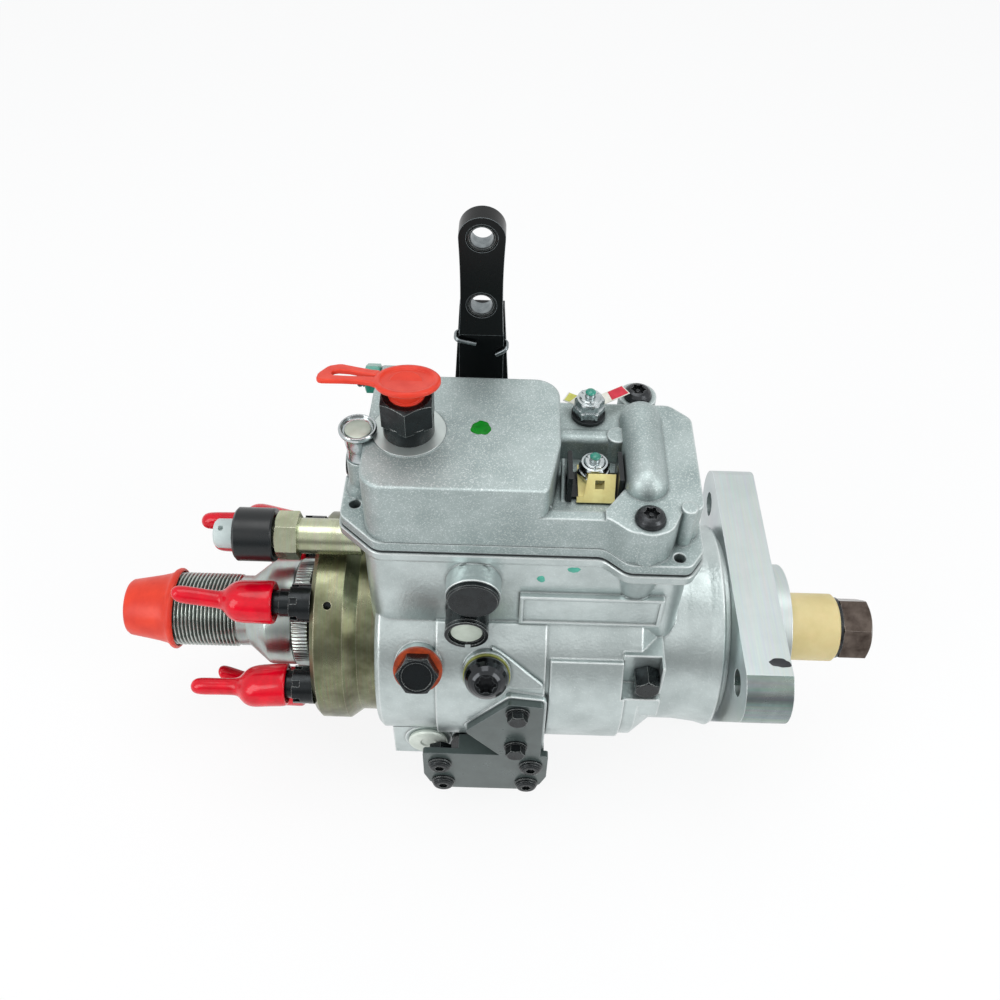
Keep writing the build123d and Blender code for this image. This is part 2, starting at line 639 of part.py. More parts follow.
# flat strip under the nut, and a blade that rises to the back at 51 degrees
tab_x, tab_y = stud_places[1]
tab_low = pocket_z + insulator_rim + seat
blade_slope = math.radians(50.7)
with BuildPart() as spade_tab:
    block((tab_x - 6.2, tab_x + 6.2), (tab_y - 11.8, tab_y + 5.0), (tab_low, tab_low + tab_thickness))
    rod((tab_x, tab_y, pocket_z), up, stud_radius + fit_gap, 5, mode=Mode.SUBTRACT)
    with BuildSketch(Plane(origin=(tab_x, tab_y - 14.0, pocket_z + 0.2), x_dir=(1, 0, 0),
                           z_dir=(0, -math.sin(blade_slope), math.cos(blade_slope)))) as blade:
        with BuildLine():
            Polyline((-6.8, 0.8), (7.9, 0.8), (7.9, 2.6), (7.8, 3.0), (8.0, 12.0), (-2.6, 12.0), (-4.1, 3.0),
                     (-6.8, 3.0), close=True)
        make_face()
        with Locations((1.9, 7.8)):
            Rectangle(3.6, 3.4, mode=Mode.SUBTRACT)
    extrude(blade.sketch, amount=-tab_thickness)
finish(spade_tab, "spade_tab")

with BuildPart() as terminal_guard:
    for x in (tab_x - 10.6, tab_x + 8.6):
        block((x, x + 1.8), (tab_y - 12.6, tab_y + 2.3), (pocket_z + seat, pocket_z + 13))
    block((tab_x - 10.6, tab_x + 10.4), (tab_y - 10.9, tab_y + 2.3), (pocket_z + seat, pocket_z + 1.3))
    rod((tab_x, tab_y, pocket_z - 1), up, insulator_rim_radius + fit_gap, 4, mode=Mode.SUBTRACT)
finish(terminal_guard, "terminal_guard")

# ======== hydraulic head ========
with BuildPart() as hydraulic_head:
    lathe([
        (head_left, 0), (head_left, head_radius - 2), (head_left + 2, head_radius),
        (head_left + 14, head_radius), (head_left + 19.5, head_neck_radius), (barrel_left - seat, head_neck_radius),
        (barrel_left - seat, head_spigot_radius), (head_right - 1, head_spigot_radius),
        (head_right - seat, head_spigot_radius - 1), (head_right - seat, 0),
    ])
    lathe([(head_left - 1, 0), (head_left - 1, head_recess_radius), (head_left + 12, head_recess_radius),
           (head_left + 12, rotor_radius + run_gap), (head_right + 2, rotor_radius + run_gap),
           (head_right + 2, 0)], mode=Mode.SUBTRACT)
    for y, z in delivery_places:
        rod((head_left - 1, y, z), right, holder_thread_radius + fit_gap, 13, mode=Mode.SUBTRACT)
    rod((metering_x, 0, 21), up, metering_radius + run_gap, 30, mode=Mode.SUBTRACT)
    rod((metering_x, 0, 5), up, 1.5, 30, mode=Mode.SUBTRACT)
    for direction in (lock_dir, lock_back_dir):
        rod(along(lock_screw_x, direction, 30), direction, lock_thread_radius + fit_gap, 20, mode=Mode.SUBTRACT)
    for angle in (58, -28):
        rod(along(head_left + 7.5, radial(angle), 41), radial(angle), 1.7, 10, mode=Mode.SUBTRACT)
finish(hydraulic_head, "hydraulic_head")

# each holder: a castellated collar, a neck and the end that the cap covers
with BuildPart() as delivery_holders:
    for y, z in delivery_places:
        lathe([(-10, 0), (-10, holder_thread_radius), (seat, holder_thread_radius), (seat, holder_collar_radius),
               (9.0, holder_collar_radius), (9.0, 6.0), (13.6, 6.0), (13.6, holder_end_radius),
               (holder_end - 1.5, holder_end_radius), (holder_end, 4.0), (holder_end, 0)], (head_left, y, z), left)
        with BuildSketch(axis_plane((head_left - 5.6, y, z), left)) as slots:
            with PolarLocations(7.8, 6):
                Rectangle(3.4, 2.6)
        extrude(slots.sketch, amount=4, mode=Mode.SUBTRACT)
    for y, z in delivery_places:
        rod((head_left - holder_end - 0.5, y, z), right, 1.5, 20, mode=Mode.SUBTRACT)
finish(delivery_holders, "delivery_holders")

# vinyl caps: a bell over the holder's end and a long round tail
tail_tilts = [7.5, 1.0, 3.0, 0.0, 10.0, 14.0]
for i, (y, z) in enumerate(delivery_places):
    name = "delivery_cap_" + str(i + 1)
    mouth = head_left - 14.4
    tilt = math.radians(tail_tilts[i])
    with BuildPart() as delivery_cap:
        lathe([(0, holder_end_radius + free_gap), (0, 9.4), (17.0, 9.2), (20.5, 7.6), (22.5, 4.4), (22.5, 0),
               (16.5, 0), (16.5, 3.0), (13.5, holder_end_radius + free_gap)], (mouth, y, z), left)
        lathe([(0, 0), (0, 4.1), (23.5, 3.8), (26.0, 2.7), (27.2, 0)], (mouth - 20.5, y, z),
              (-math.cos(tilt), 0, math.sin(tilt)))
    finish(delivery_cap, name)

# ======== inlet end ========
with BuildPart() as end_cap_seal:
    lathe([(seat, 16), (seat, 21.5), (seal_thickness, 21.5), (seal_thickness, 16)], (head_left, 0, 0), left)
finish(end_cap_seal, "end_cap_seal")

inlet_length = head_left - inlet_left
with BuildPart() as inlet_connector:
    lathe([
        (seal_thickness + seat, inlet_bore + 4), (seal_thickness + seat, end_cap_radius), (12.5, end_cap_radius),
        (12.5, inlet_hub_radius), (24.0, inlet_hub_radius), (34.5, thread_radius - 0.6), (37.5, thread_radius - 0.6),
        (38.5, thread_radius), (inlet_length - 1, thread_radius), (inlet_length, thread_radius - 1),
        (inlet_length, inlet_bore), (18.0, inlet_bore), (14.0, inlet_bore + 4),
    ], (head_left, 0, 0), left)
finish(inlet_connector, "inlet_connector")

with BuildPart() as inlet_cap:
    skirt = thread_radius + free_gap
    lathe([
        (23.5, 0), (23.5, 12.2), (22.5, 13.2), (2.0, thread_radius - 0.2), (0.5, thread_radius + 0.8),
        (-4.8, skirt + inlet_cap_wall), (-5.8, skirt + inlet_cap_wall), (-5.8, skirt), (0.3, skirt),
        (0.3, thread_radius - 1.5), (21.9, 11.8), (21.9, 0),
    ], (inlet_left, 0, 0), left)
finish(inlet_cap, "inlet_cap")

# ======== fuel line connector ========
with BuildPart() as line_connector:
    lathe([(-10, 0), (-10, 5), (4.5, 5), (4.5, 7.6), (31, 7.6), (31, line_radius), (54, line_radius), (54, 0)],
          (wall_left, line_y, line_z), left)
    hex_head((wall_left - 31, line_y, line_z), left, 18.4, 9.6, turn=8)
finish(line_connector, "line_connector")

with BuildPart() as line_cap:
    lathe([(41, line_radius + free_gap), (41, 11.0), (41.8, 11.4), (56.6, 11.4), (57.6, 10.4), (57.6, 0),
           (55.5, 0), (55.5, line_radius + free_gap)], (wall_left, line_y, line_z), left)
    lathe([(57.0, 0), (57.0, 6.4), (65.4, 6.2), (66.6, 5.2), (66.6, 0)], (wall_left, line_y, line_z), left)
    rod((wall_left - 63.2, line_y - 2, line_z + 4), up, 1.1, 4, mode=Mode.SUBTRACT)
finish(line_cap, "line_cap")

# ======== plugs and screws in the barrel ========
with BuildPart() as bore_plugs:
    lathe([(seat, 0), (seat, plug_radius), (4.6, plug_radius), (5.2, plug_radius - 0.6), (5.2, 0)],
          (throttle_x, boss_front_y + 3, throttle_z), front)
    lathe([(0, pivot_pin_radius + fit_gap), (0, pivot_plug_radius), (pivot_plug_length - 0.6, pivot_plug_radius),
           (pivot_plug_length, pivot_plug_radius - 0.6), (pivot_plug_length, 0), (4, 0),
           (4, pivot_pin_radius + fit_gap)], (pivot_x, pivot_front_y + pivot_plug_length, pivot_z), front)
    rod((pivot_x, pivot_front_y - 1, pivot_z), back, 6.9, 2.0, mode=Mode.SUBTRACT)
finish(bore_plugs, "bore_plugs")

with BuildPart() as pivot_snap_ring:
    with BuildSketch(front_plane(pivot_front_y - seat)):
        with Locations((pivot_x, pivot_z)):
            Circle(pivot_plug_radius)
            Circle(7.4, mode=Mode.SUBTRACT)
        with Locations((pivot_x + 0.5, pivot_z - 8)):
            Rectangle(2.2, 4, mode=Mode.SUBTRACT)
    extrude(amount=1.1)
finish(pivot_snap_ring, "pivot_snap_ring")

with BuildPart() as lock_washers:
    for direction in (lock_dir, lock_back_dir):
        lathe([(seat, lock_thread_radius + fit_gap), (seat, lock_washer_radius), (1.6, lock_washer_radius),
               (1.6, lock_thread_radius + fit_gap)], along(lock_screw_x, direction, lock_boss_top), direction)
finish(lock_washers, "lock_washers")

lock_head_base = lock_boss_top + 1.6 + seat
with BuildPart() as lock_screws:
    for direction in (lock_dir, lock_back_dir):
        rod(along(lock_screw_x, direction, 31), direction, lock_thread_radius, lock_head_base + 1 - 31)
        hex_head(along(lock_screw_x, direction, lock_head_base), direction, lock_flats, 6.0, lock_turn)
        rod(along(lock_screw_x, direction, lock_head_base + 5.4), direction, 6.2, 1.0, mode=Mode.SUBTRACT)
finish(lock_screws, "lock_screws")

with BuildPart() as dome_washer:
    lathe([(seat, dome_thread_radius + fit_gap), (seat, dome_washer_radius), (1.4, dome_washer_radius),
           (1.4, dome_thread_radius + fit_gap)], along(dome_x, dome_dir, dome_boss_top), dome_dir)
finish(dome_washer, "dome_washer")

dome_base = dome_boss_top + 1.4 + seat
with BuildPart() as dome_plug:
    lathe([(46, 0), (46, dome_thread_radius), (dome_base, dome_thread_radius), (dome_base, dome_radius),
           (dome_base + 1.8, dome_radius), (dome_base + 3.6, 8.8), (dome_base + 5.4, 7.6), (dome_base + 6.8, 6.1),
           (dome_base + dome_height, 4.9), (dome_base + dome_height, 0)], (dome_x, 0, 0), dome_dir)
    six_lobe(along(dome_x, dome_dir, dome_base + dome_height - 3.6), dome_dir, 4.3, 6)
finish(dome_plug, "dome_plug")

with BuildPart() as port_plug:
    lathe([(-8, 0), (-8, port_plug_radius - 2.5), (seat, port_plug_radius - 2.5), (seat, port_plug_radius - 0.4),
           (1.4, port_plug_radius), (2.2, port_plug_radius - 0.4), (2.2, 3.6), (1.6, 3.0), (1.6, 0)],
          (port_plug_x, port_boss_front, port_plug_z), front)
finish(port_plug, "port_plug")

with BuildPart() as pocket_bolt:
    rod((pocket_bolt_x, pocket_back_y + 8, pocket_bolt_z), front, 3, 9)
    hex_head((pocket_bolt_x, pocket_back_y - seat, pocket_bolt_z), front, pocket_bolt_flats, pocket_bolt_head,
             pocket_bolt_turn)
finish(pocket_bolt, "pocket_bolt")

# ======== bracket ========
with BuildPart() as side_bracket:
    prism(front_plane(bracket_front + bracket_thickness), gusset_outline, bracket_thickness, gusset_radii)
    prism(front_plane(bracket_front + bracket_thickness), [
        (bracket_left, shelf_z), (bracket_right, shelf_z), (bracket_right, -47), (bracket_right - 2.6, -54.5),
        (bracket_right - 8, bracket_bottom), (bracket_left + 8, bracket_bottom), (bracket_left + 2.6, -54.5),
        (bracket_left, -47)], bracket_thickness, 1.5)
    block((bracket_left + 16, bracket_right - 2), (bracket_front + 0.5, -(barrel_radius - 4.8)),
          (shelf_z - 3, shelf_z))
    for x, z in bracket_screws:
        rod((x, bracket_front - 1, z), back, 3.2, 6, mode=Mode.SUBTRACT)
    for x, z in gusset_bolts:
        rod((x, bracket_front - 1, z), back, 3.2, 6, mode=Mode.SUBTRACT)
finish(side_bracket, "side_bracket")

with BuildPart() as bracket_screw_set:
    for x, z in bracket_screws:
        lathe([(-7.5, 0), (-7.5, 3.0), (seat, 3.0), (seat, bracket_screw_head), (0.8, bracket_screw_head),
               (0.9, 5.0), (1.9, 4.8), (2.6, 4.2), (2.9, 3.4), (2.9, 0)], (x, bracket_front, z), front)
        hexagon((x, bracket_front - 1.4, z), front, 4.0, 4, mode=Mode.SUBTRACT)
        # nut behind the plate
        with BuildSketch(axis_plane((x, bracket_front + bracket_thickness + seat, z), back)) as nut_face:
            RegularPolygon(5.0, 6, major_radius=False, rotation=30)
            Circle(3.0 + fit_gap, mode=Mode.SUBTRACT)
        extrude(nut_face.sketch, amount=5.0)
finish(bracket_screw_set, "bracket_screws")

with BuildPart() as gusset_bolt_set:
    for x, z in gusset_bolts:
        lathe([(-11, 0), (-11, 3.0), (seat, 3.0), (seat, 5.2), (1.0, 5.2), (1.0, 0)],
              (x, bracket_front, z), front)
        hex_head((x, bracket_front - 0.9, z), front, 7.6, 3.9)
finish(gusset_bolt_set, "gusset_bolts")

# ======== shaft group ========
taper_slope = (journal_radius - taper_end_radius) / (taper_end - pilot_length)
with BuildPart() as drive_shaft:
    lathe([(sleeve_ring_left - 5, 0), (sleeve_ring_left - 5, shaft_small_radius), (bearing_left, shaft_small_radius),
           (bearing_left, journal_radius), (pilot_length, journal_radius),
           (taper_end - 1, taper_end_radius + taper_slope), (taper_end - 1, shaft_thread_radius),
           (shaft_end, shaft_thread_radius), (shaft_end, 0)])
    block((sleeve_ring_left - 12, sleeve_ring_left - 4), (-3, 3), (-6, 6))
finish(drive_shaft, "drive_shaft")

with BuildPart() as shaft_sleeve:
    sleeve_inside = sleeve_radius - sleeve_wall
    lathe([(sleeve_start, journal_radius + 0.1), (sleeve_start, sleeve_radius), (taper_end - 1.2, sleeve_radius),
           (taper_end, sleeve_radius - 1.2), (taper_end, taper_end_radius + 1.0),
           (taper_end - 3, taper_end_radius + 1.0), (taper_end - 3, sleeve_inside), (sleeve_start + 3, sleeve_inside),
           (sleeve_start + 3, journal_radius + 0.1)])
finish(shaft_sleeve, "shaft_sleeve")

with BuildPart() as shaft_washer:
    lathe([(taper_end + seat, shaft_thread_radius + fit_gap), (taper_end + seat, washer_radius),
           (taper_end + washer_thickness, washer_radius), (taper_end + washer_thickness, shaft_thread_radius + fit_gap)])
finish(shaft_washer, "shaft_washer")

with BuildPart() as shaft_nut:
    hex_head((taper_end + washer_thickness + seat, 0, 0), right, nut_flats, nut_length, nut_turn)
    rod((taper_end, 0, 0), right, shaft_thread_radius + fit_gap, 20, mode=Mode.SUBTRACT)
finish(shaft_nut, "shaft_nut")

with BuildPart() as shaft_bearing:
    lathe([(seat, journal_radius + run_gap), (seat, bearing_radius), (bearing_length - seat, bearing_radius),
           (bearing_length - seat, journal_radius + run_gap)], (bearing_left, 0, 0))
finish(shaft_bearing, "shaft_bearing")

with BuildPart() as shaft_seal:
    lathe([(seat, journal_radius + run_gap), (seat, seal_radius), (seal_length - 0.6, seal_radius),
           (seal_length - 0.6, 15.5), (seal_length - 5, 15.5), (seal_length - 5, journal_radius + run_gap)],
          (pilot_length - seal_length, 0, 0))
finish(shaft_seal, "shaft_seal")

with BuildPart() as governor_cage:
    lathe([(cage_right, shaft_small_radius + fit_gap), (cage_right, cage_radius), (cage_right - 3, cage_radius),
           (cage_right - 3, 13), (cage_left, 13), (cage_left, shaft_small_radius + fit_gap)])
    for turn in range(6):
        with BuildSketch(Plane.YZ.offset(cage_left)) as finger:
            with Locations(Rotation(0, 0, 60 * turn)):
                with Locations((33.5, 0)):
                    Rectangle(5, 9)
        extrude(finger.sketch, amount=cage_right - 2 - cage_left)
finish(governor_cage, "governor_cage")

with BuildPart() as governor_weights:
    for turn in range(6):
        with BuildSketch(Plane.YZ.offset(cage_left + 2)) as weight:
            with Locations(Rotation(0, 0, 60 * turn + 30)):
                with Locations((25.5, 0)):
                    Rectangle(15, 12)
        extrude(weight.sketch, amount=cage_right - cage_left - 6)
finish(governor_weights, "governor_weights")

with BuildPart() as thrust_sleeve:
    lathe([(0, shaft_small_radius + run_gap), (0, 19), (3, 19), (3, 12.5), (7, 12.5),
           (7, shaft_small_radius + run_gap)], (sleeve_ring_left, 0, 0))
finish(thrust_sleeve, "thrust_sleeve")

with BuildPart() as distributor_rotor:
    lathe([(head_left + 1, 0), (head_left + 1, rotor_radius - 0.3), (head_left + 11, rotor_radius - 0.3),
           (head_left + 12, rotor_radius), (cam_left - 1.6, rotor_radius), (cam_left - 1.6, 25.5),
           (cam_right - 1, 25.5), (cam_right - 1, 11.5), (sleeve_ring_left - 5.6, 11.5), (sleeve_ring_left - 5.6, 0)])
    block((sleeve_ring_left - 13, sleeve_ring_left - 5), (-3.3, 3.3), (-14.5, 14.5), mode=Mode.SUBTRACT)
    for y, z in ring_points(roller_circle, 4, 45):
        rod((cam_left + 1.5, y, z), right, roller_radius + fit_gap, 20, mode=Mode.SUBTRACT)
finish(distributor_rotor, "distributor_rotor")

with BuildPart() as cam_rollers:
    for y, z in ring_points(roller_circle, 4, 45):
        rod((cam_left + 1.7, y, z), right, roller_radius, 19.5)
finish(cam_rollers, "cam_rollers")

# ======== cam ring and advance ========
with BuildPart() as cam_ring:
    with BuildSketch(Plane.YZ.offset(cam_left)):
        Circle(cam_outer)
        with BuildSketch(mode=Mode.PRIVATE) as opening:
            Circle(cam_inner + cam_lobe)
            with PolarLocations(cam_inner + 9, 6):
                Circle(9, mode=Mode.SUBTRACT)
        add(opening.sketch, mode=Mode.SUBTRACT)
    extrude(amount=cam_right - cam_left)
    rod((advance_x, 0, -30), down, advance_pin_radius + fit_gap, 12, mode=Mode.SUBTRACT)
    rod((advance_x, 0, -33.5), down, advance_pin_radius, -33.5 - (advance_z - 3))
finish(cam_ring, "cam_ring")

with BuildPart() as advance_piston:
    rod((advance_x, advance_piston_half, advance_z), front, advance_bore - run_gap, 2 * advance_piston_half)
    with BuildSketch(Plane.XY.offset(advance_z - 6)) as slot:
        with Locations((advance_x, 0)):
            RectangleRounded(2 * advance_pin_radius + 1.0, 2 * advance_pin_radius + 2.4, 4)
    extrude(slot.sketch, amount=20, mode=Mode.SUBTRACT)
finish(advance_piston, "advance_piston")

with BuildPart() as advance_plugs:
    for y, direction in ((-advance_half, front), (advance_half, back)):
        lathe([(-7, 0), (-7, advance_bore - fit_gap), (seat, advance_bore - fit_gap), (seat, 12.6), (2, 12.6), (2, 0)],
              (advance_x, y, advance_z), direction)
        hex_head((advance_x, y + 1.9 * direction[1], advance_z), direction, 14.0, 4.0)
finish(advance_plugs, "advance_plugs")

# ======== governor arm and metering ========
with BuildPart() as pivot_pin:
    rod((pivot_x, pivot_front_y + 17, pivot_z), back, pivot_pin_radius, pivot_pin_end - pivot_front_y - 17)
finish(pivot_pin, "pivot_pin")

with BuildPart() as governor_arm:
    rod((pivot_x, -15, pivot_z), back, 6, 30)
    # two legs down to the thrust ring, which only the pads at their feet reach
    for y in (-arm_leg_outer, arm_leg_outer - arm_leg_width):
        block((pivot_x, arm_leg_right), (y, y + arm_leg_width), (pivot_z - 4.5, pivot_z + 1))
        block((arm_leg_right - 2.8, arm_leg_right), (y, y + arm_leg_width), (-3, pivot_z + 1))
        block((arm_leg_right - 1, sleeve_ring_left - free_gap), (y, y + arm_leg_width), (-3, 3))
    rod((pivot_x, -16, pivot_z), back, pivot_pin_radius + run_gap, 32, mode=Mode.SUBTRACT)
finish(governor_arm, "governor_arm")

with BuildPart() as metering_valve:
    lathe([(22, 0), (22, metering_radius), (42, metering_radius), (42, 2.4), (62, 2.4), (62, 0)],
          (metering_x, 0, 0), up)
    block((metering_x - 2.5, metering_x + 11), (-2.4, 2.4), (58, 61))
finish(metering_valve, "metering_valve")

# ======== throttle shaft and lever ========
throttle_origin = (throttle_x, 0, throttle_z)
with BuildPart() as throttle_shaft:
    lathe([(boss_front_y + 4, 0), (boss_front_y + 4, throttle_radius), (58, throttle_radius), (58, 0)],
          throttle_origin, back)
finish(throttle_shaft, "throttle_shaft")

# back plate on the shaft, folded forward into a channel under the bar
lever_back = lever_y + lever_thickness
web_front = lever_y + 1.5
with BuildPart() as lever_arm:
    with BuildSketch(front_plane(lever_back + seat + arm_thickness)) as plate:
        with BuildLine():
            Polyline((throttle_x - 13, throttle_z), (throttle_x - channel_half, arm_top),
                     (throttle_x + channel_half, arm_top), (throttle_x + 13, throttle_z), close=True)
        make_face()
        with Locations((throttle_x, throttle_z)):
            Circle(13)
    extrude(plate.sketch, amount=arm_thickness)
    block((throttle_x - channel_half, throttle_x + channel_half), (web_front, web_front + channel_web),
          (channel_bottom, channel_top))
    for x in (throttle_x - channel_half, throttle_x + channel_half - channel_web):
        block((x, x + channel_web), (web_front, lever_back + 1), (channel_bottom, channel_top - 13))
    rod((throttle_x, lever_back - 1, throttle_z), back, throttle_radius + fit_gap, 10, mode=Mode.SUBTRACT)
finish(lever_arm, "lever_arm")

lever_middle_z = (lever_bar_bottom + lever_top_hole_z) / 2
with BuildPart() as throttle_lever:
    with BuildSketch(front_plane(lever_back)) as bar:
        with BuildLine():
            half = lever_width / 2
            Line((throttle_x - half, lever_bar_bottom), (throttle_x + half, lever_bar_bottom))
            ThreePointArc((throttle_x + half, lever_bar_bottom), (throttle_x + half - lever_waist, lever_middle_z),
                          (throttle_x + half, lever_top_hole_z))
            ThreePointArc((throttle_x + half, lever_top_hole_z), (throttle_x, lever_top_hole_z + half),
                          (throttle_x - half, lever_top_hole_z))
            ThreePointArc((throttle_x - half, lever_top_hole_z), (throttle_x - half + lever_waist, lever_middle_z),
                          (throttle_x - half, lever_bar_bottom))
        make_face()
    extrude(bar.sketch, amount=lever_thickness)
    for z in (lever_top_hole_z, lever_low_hole_z):
        rod((throttle_x, lever_back + 1, z), front, bush_radius + fit_gap, lever_thickness + 2, mode=Mode.SUBTRACT)
finish(throttle_lever, "throttle_lever")

spring_turns = 5
spring_wire = 0.9
spring_radius = 10.5
leg_y = lever_back - 2.2
hook_front_y = web_front - spring_wire - 0.3
with BuildPart() as throttle_spring:
    coil = [(lever_y - 3.2 + 2 * spring_wire * i / 4, spring_radius + (spring_wire if i % 4 in (1, 2, 3) else 0.35))
            for i in range(4 * spring_turns + 1)]
    lathe([(coil[0][0], spring_radius - spring_wire)] + coil + [(coil[-1][0], spring_radius - spring_wire)],
          throttle_origin, back)
    # each leg runs up inside the channel and hooks round the web's edge
    for side, hook_z, tip_x, tip_z in hooks:
        with BuildLine(Plane.XY) as leg:
            FilletPolyline(
                (throttle_x + side * 9.5, lever_y + 3.8, throttle_z + 2),
                (throttle_x + side * 9.5, lever_y + 3.8, throttle_z + 9),
                (throttle_x + side * 5.5, leg_y, throttle_z + 17), (throttle_x + side * 5.5, leg_y, hook_z),
                (throttle_x + side * 10.2, leg_y, hook_z), (throttle_x + side * 10.2, hook_front_y, hook_z),
                (throttle_x + tip_x, hook_front_y, tip_z), radius=1.6)
        with BuildSketch(Plane(origin=leg.line @ 0, z_dir=leg.line % 0)) as wire:
            Circle(spring_wire)
        sweep(wire.sketch, path=leg.line)
finish(throttle_spring, "throttle_spring")

with BuildPart() as lever_bushes:
    for z in (lever_top_hole_z, lever_low_hole_z):
        lathe([(bush_inset, bush_bore), (bush_inset, bush_radius), (lever_thickness - bush_inset, bush_radius),
               (lever_thickness - bush_inset, bush_bore)], (throttle_x, lever_back, z), front)
finish(lever_bushes, "lever_bushes")

with BuildPart() as lever_nut:
    hex_head((throttle_x, lever_back + arm_thickness + 2 * seat, throttle_z), back, 17.0, 6.5)
    rod((throttle_x, lever_back, throttle_z), back, throttle_radius + fit_gap, 20, mode=Mode.SUBTRACT)
finish(lever_nut, "lever_nut")
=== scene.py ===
import math
import random

import bmesh
import bpy
from mathutils import Matrix, Vector


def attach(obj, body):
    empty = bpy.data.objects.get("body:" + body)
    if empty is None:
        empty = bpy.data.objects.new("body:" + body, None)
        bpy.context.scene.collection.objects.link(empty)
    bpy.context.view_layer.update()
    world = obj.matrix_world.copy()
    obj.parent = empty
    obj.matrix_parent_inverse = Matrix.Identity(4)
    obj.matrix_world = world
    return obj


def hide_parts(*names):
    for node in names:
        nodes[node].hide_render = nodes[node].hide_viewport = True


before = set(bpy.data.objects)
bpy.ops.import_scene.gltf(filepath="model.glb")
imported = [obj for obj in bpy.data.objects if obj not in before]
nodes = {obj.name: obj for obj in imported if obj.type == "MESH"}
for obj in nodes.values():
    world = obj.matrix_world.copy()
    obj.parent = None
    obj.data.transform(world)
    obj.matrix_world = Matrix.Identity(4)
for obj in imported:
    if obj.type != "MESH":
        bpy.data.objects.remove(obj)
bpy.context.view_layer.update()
mm = 0.001
cornerRange = (0.995, 0.90)     # cosine of true to rounded normal, from flat to full corner
shelterReach = 1.6              # millimetres within which a corner counts as sheltered
shelterRange = (0.62, 0.85)     # open share of the surroundings, from sheltered to exposed
cornerShadeAmount = 0.7               # how strongly painted shade darkens the sheltered corners
scatterDepth = 1.5              # millimetres that light travels inside soft plastic
print("frame loaded,", len(nodes), "nodes")


def linear(hexColour):
    parts = [int(hexColour[i:i + 2], 16) / 255 for i in (1, 3, 5)]
    return tuple(c / 12.92 if c <= 0.04045 else ((c + 0.055) / 1.055) ** 2.4 for c in parts) + (1.0,)


def addNode(tree, kind, inputs=None, **settings):
    # an input is a number or colour to set, or another node's output to link
    node = tree.nodes.new("ShaderNode" + kind)
    for key, value in settings.items():
        setattr(node, key, value)
    for socket, value in (inputs or {}).items():
        if isinstance(value, bpy.types.NodeSocket):
            tree.links.new(value, node.inputs[socket])
        else:
            node.inputs[socket].default_value = value
    return node


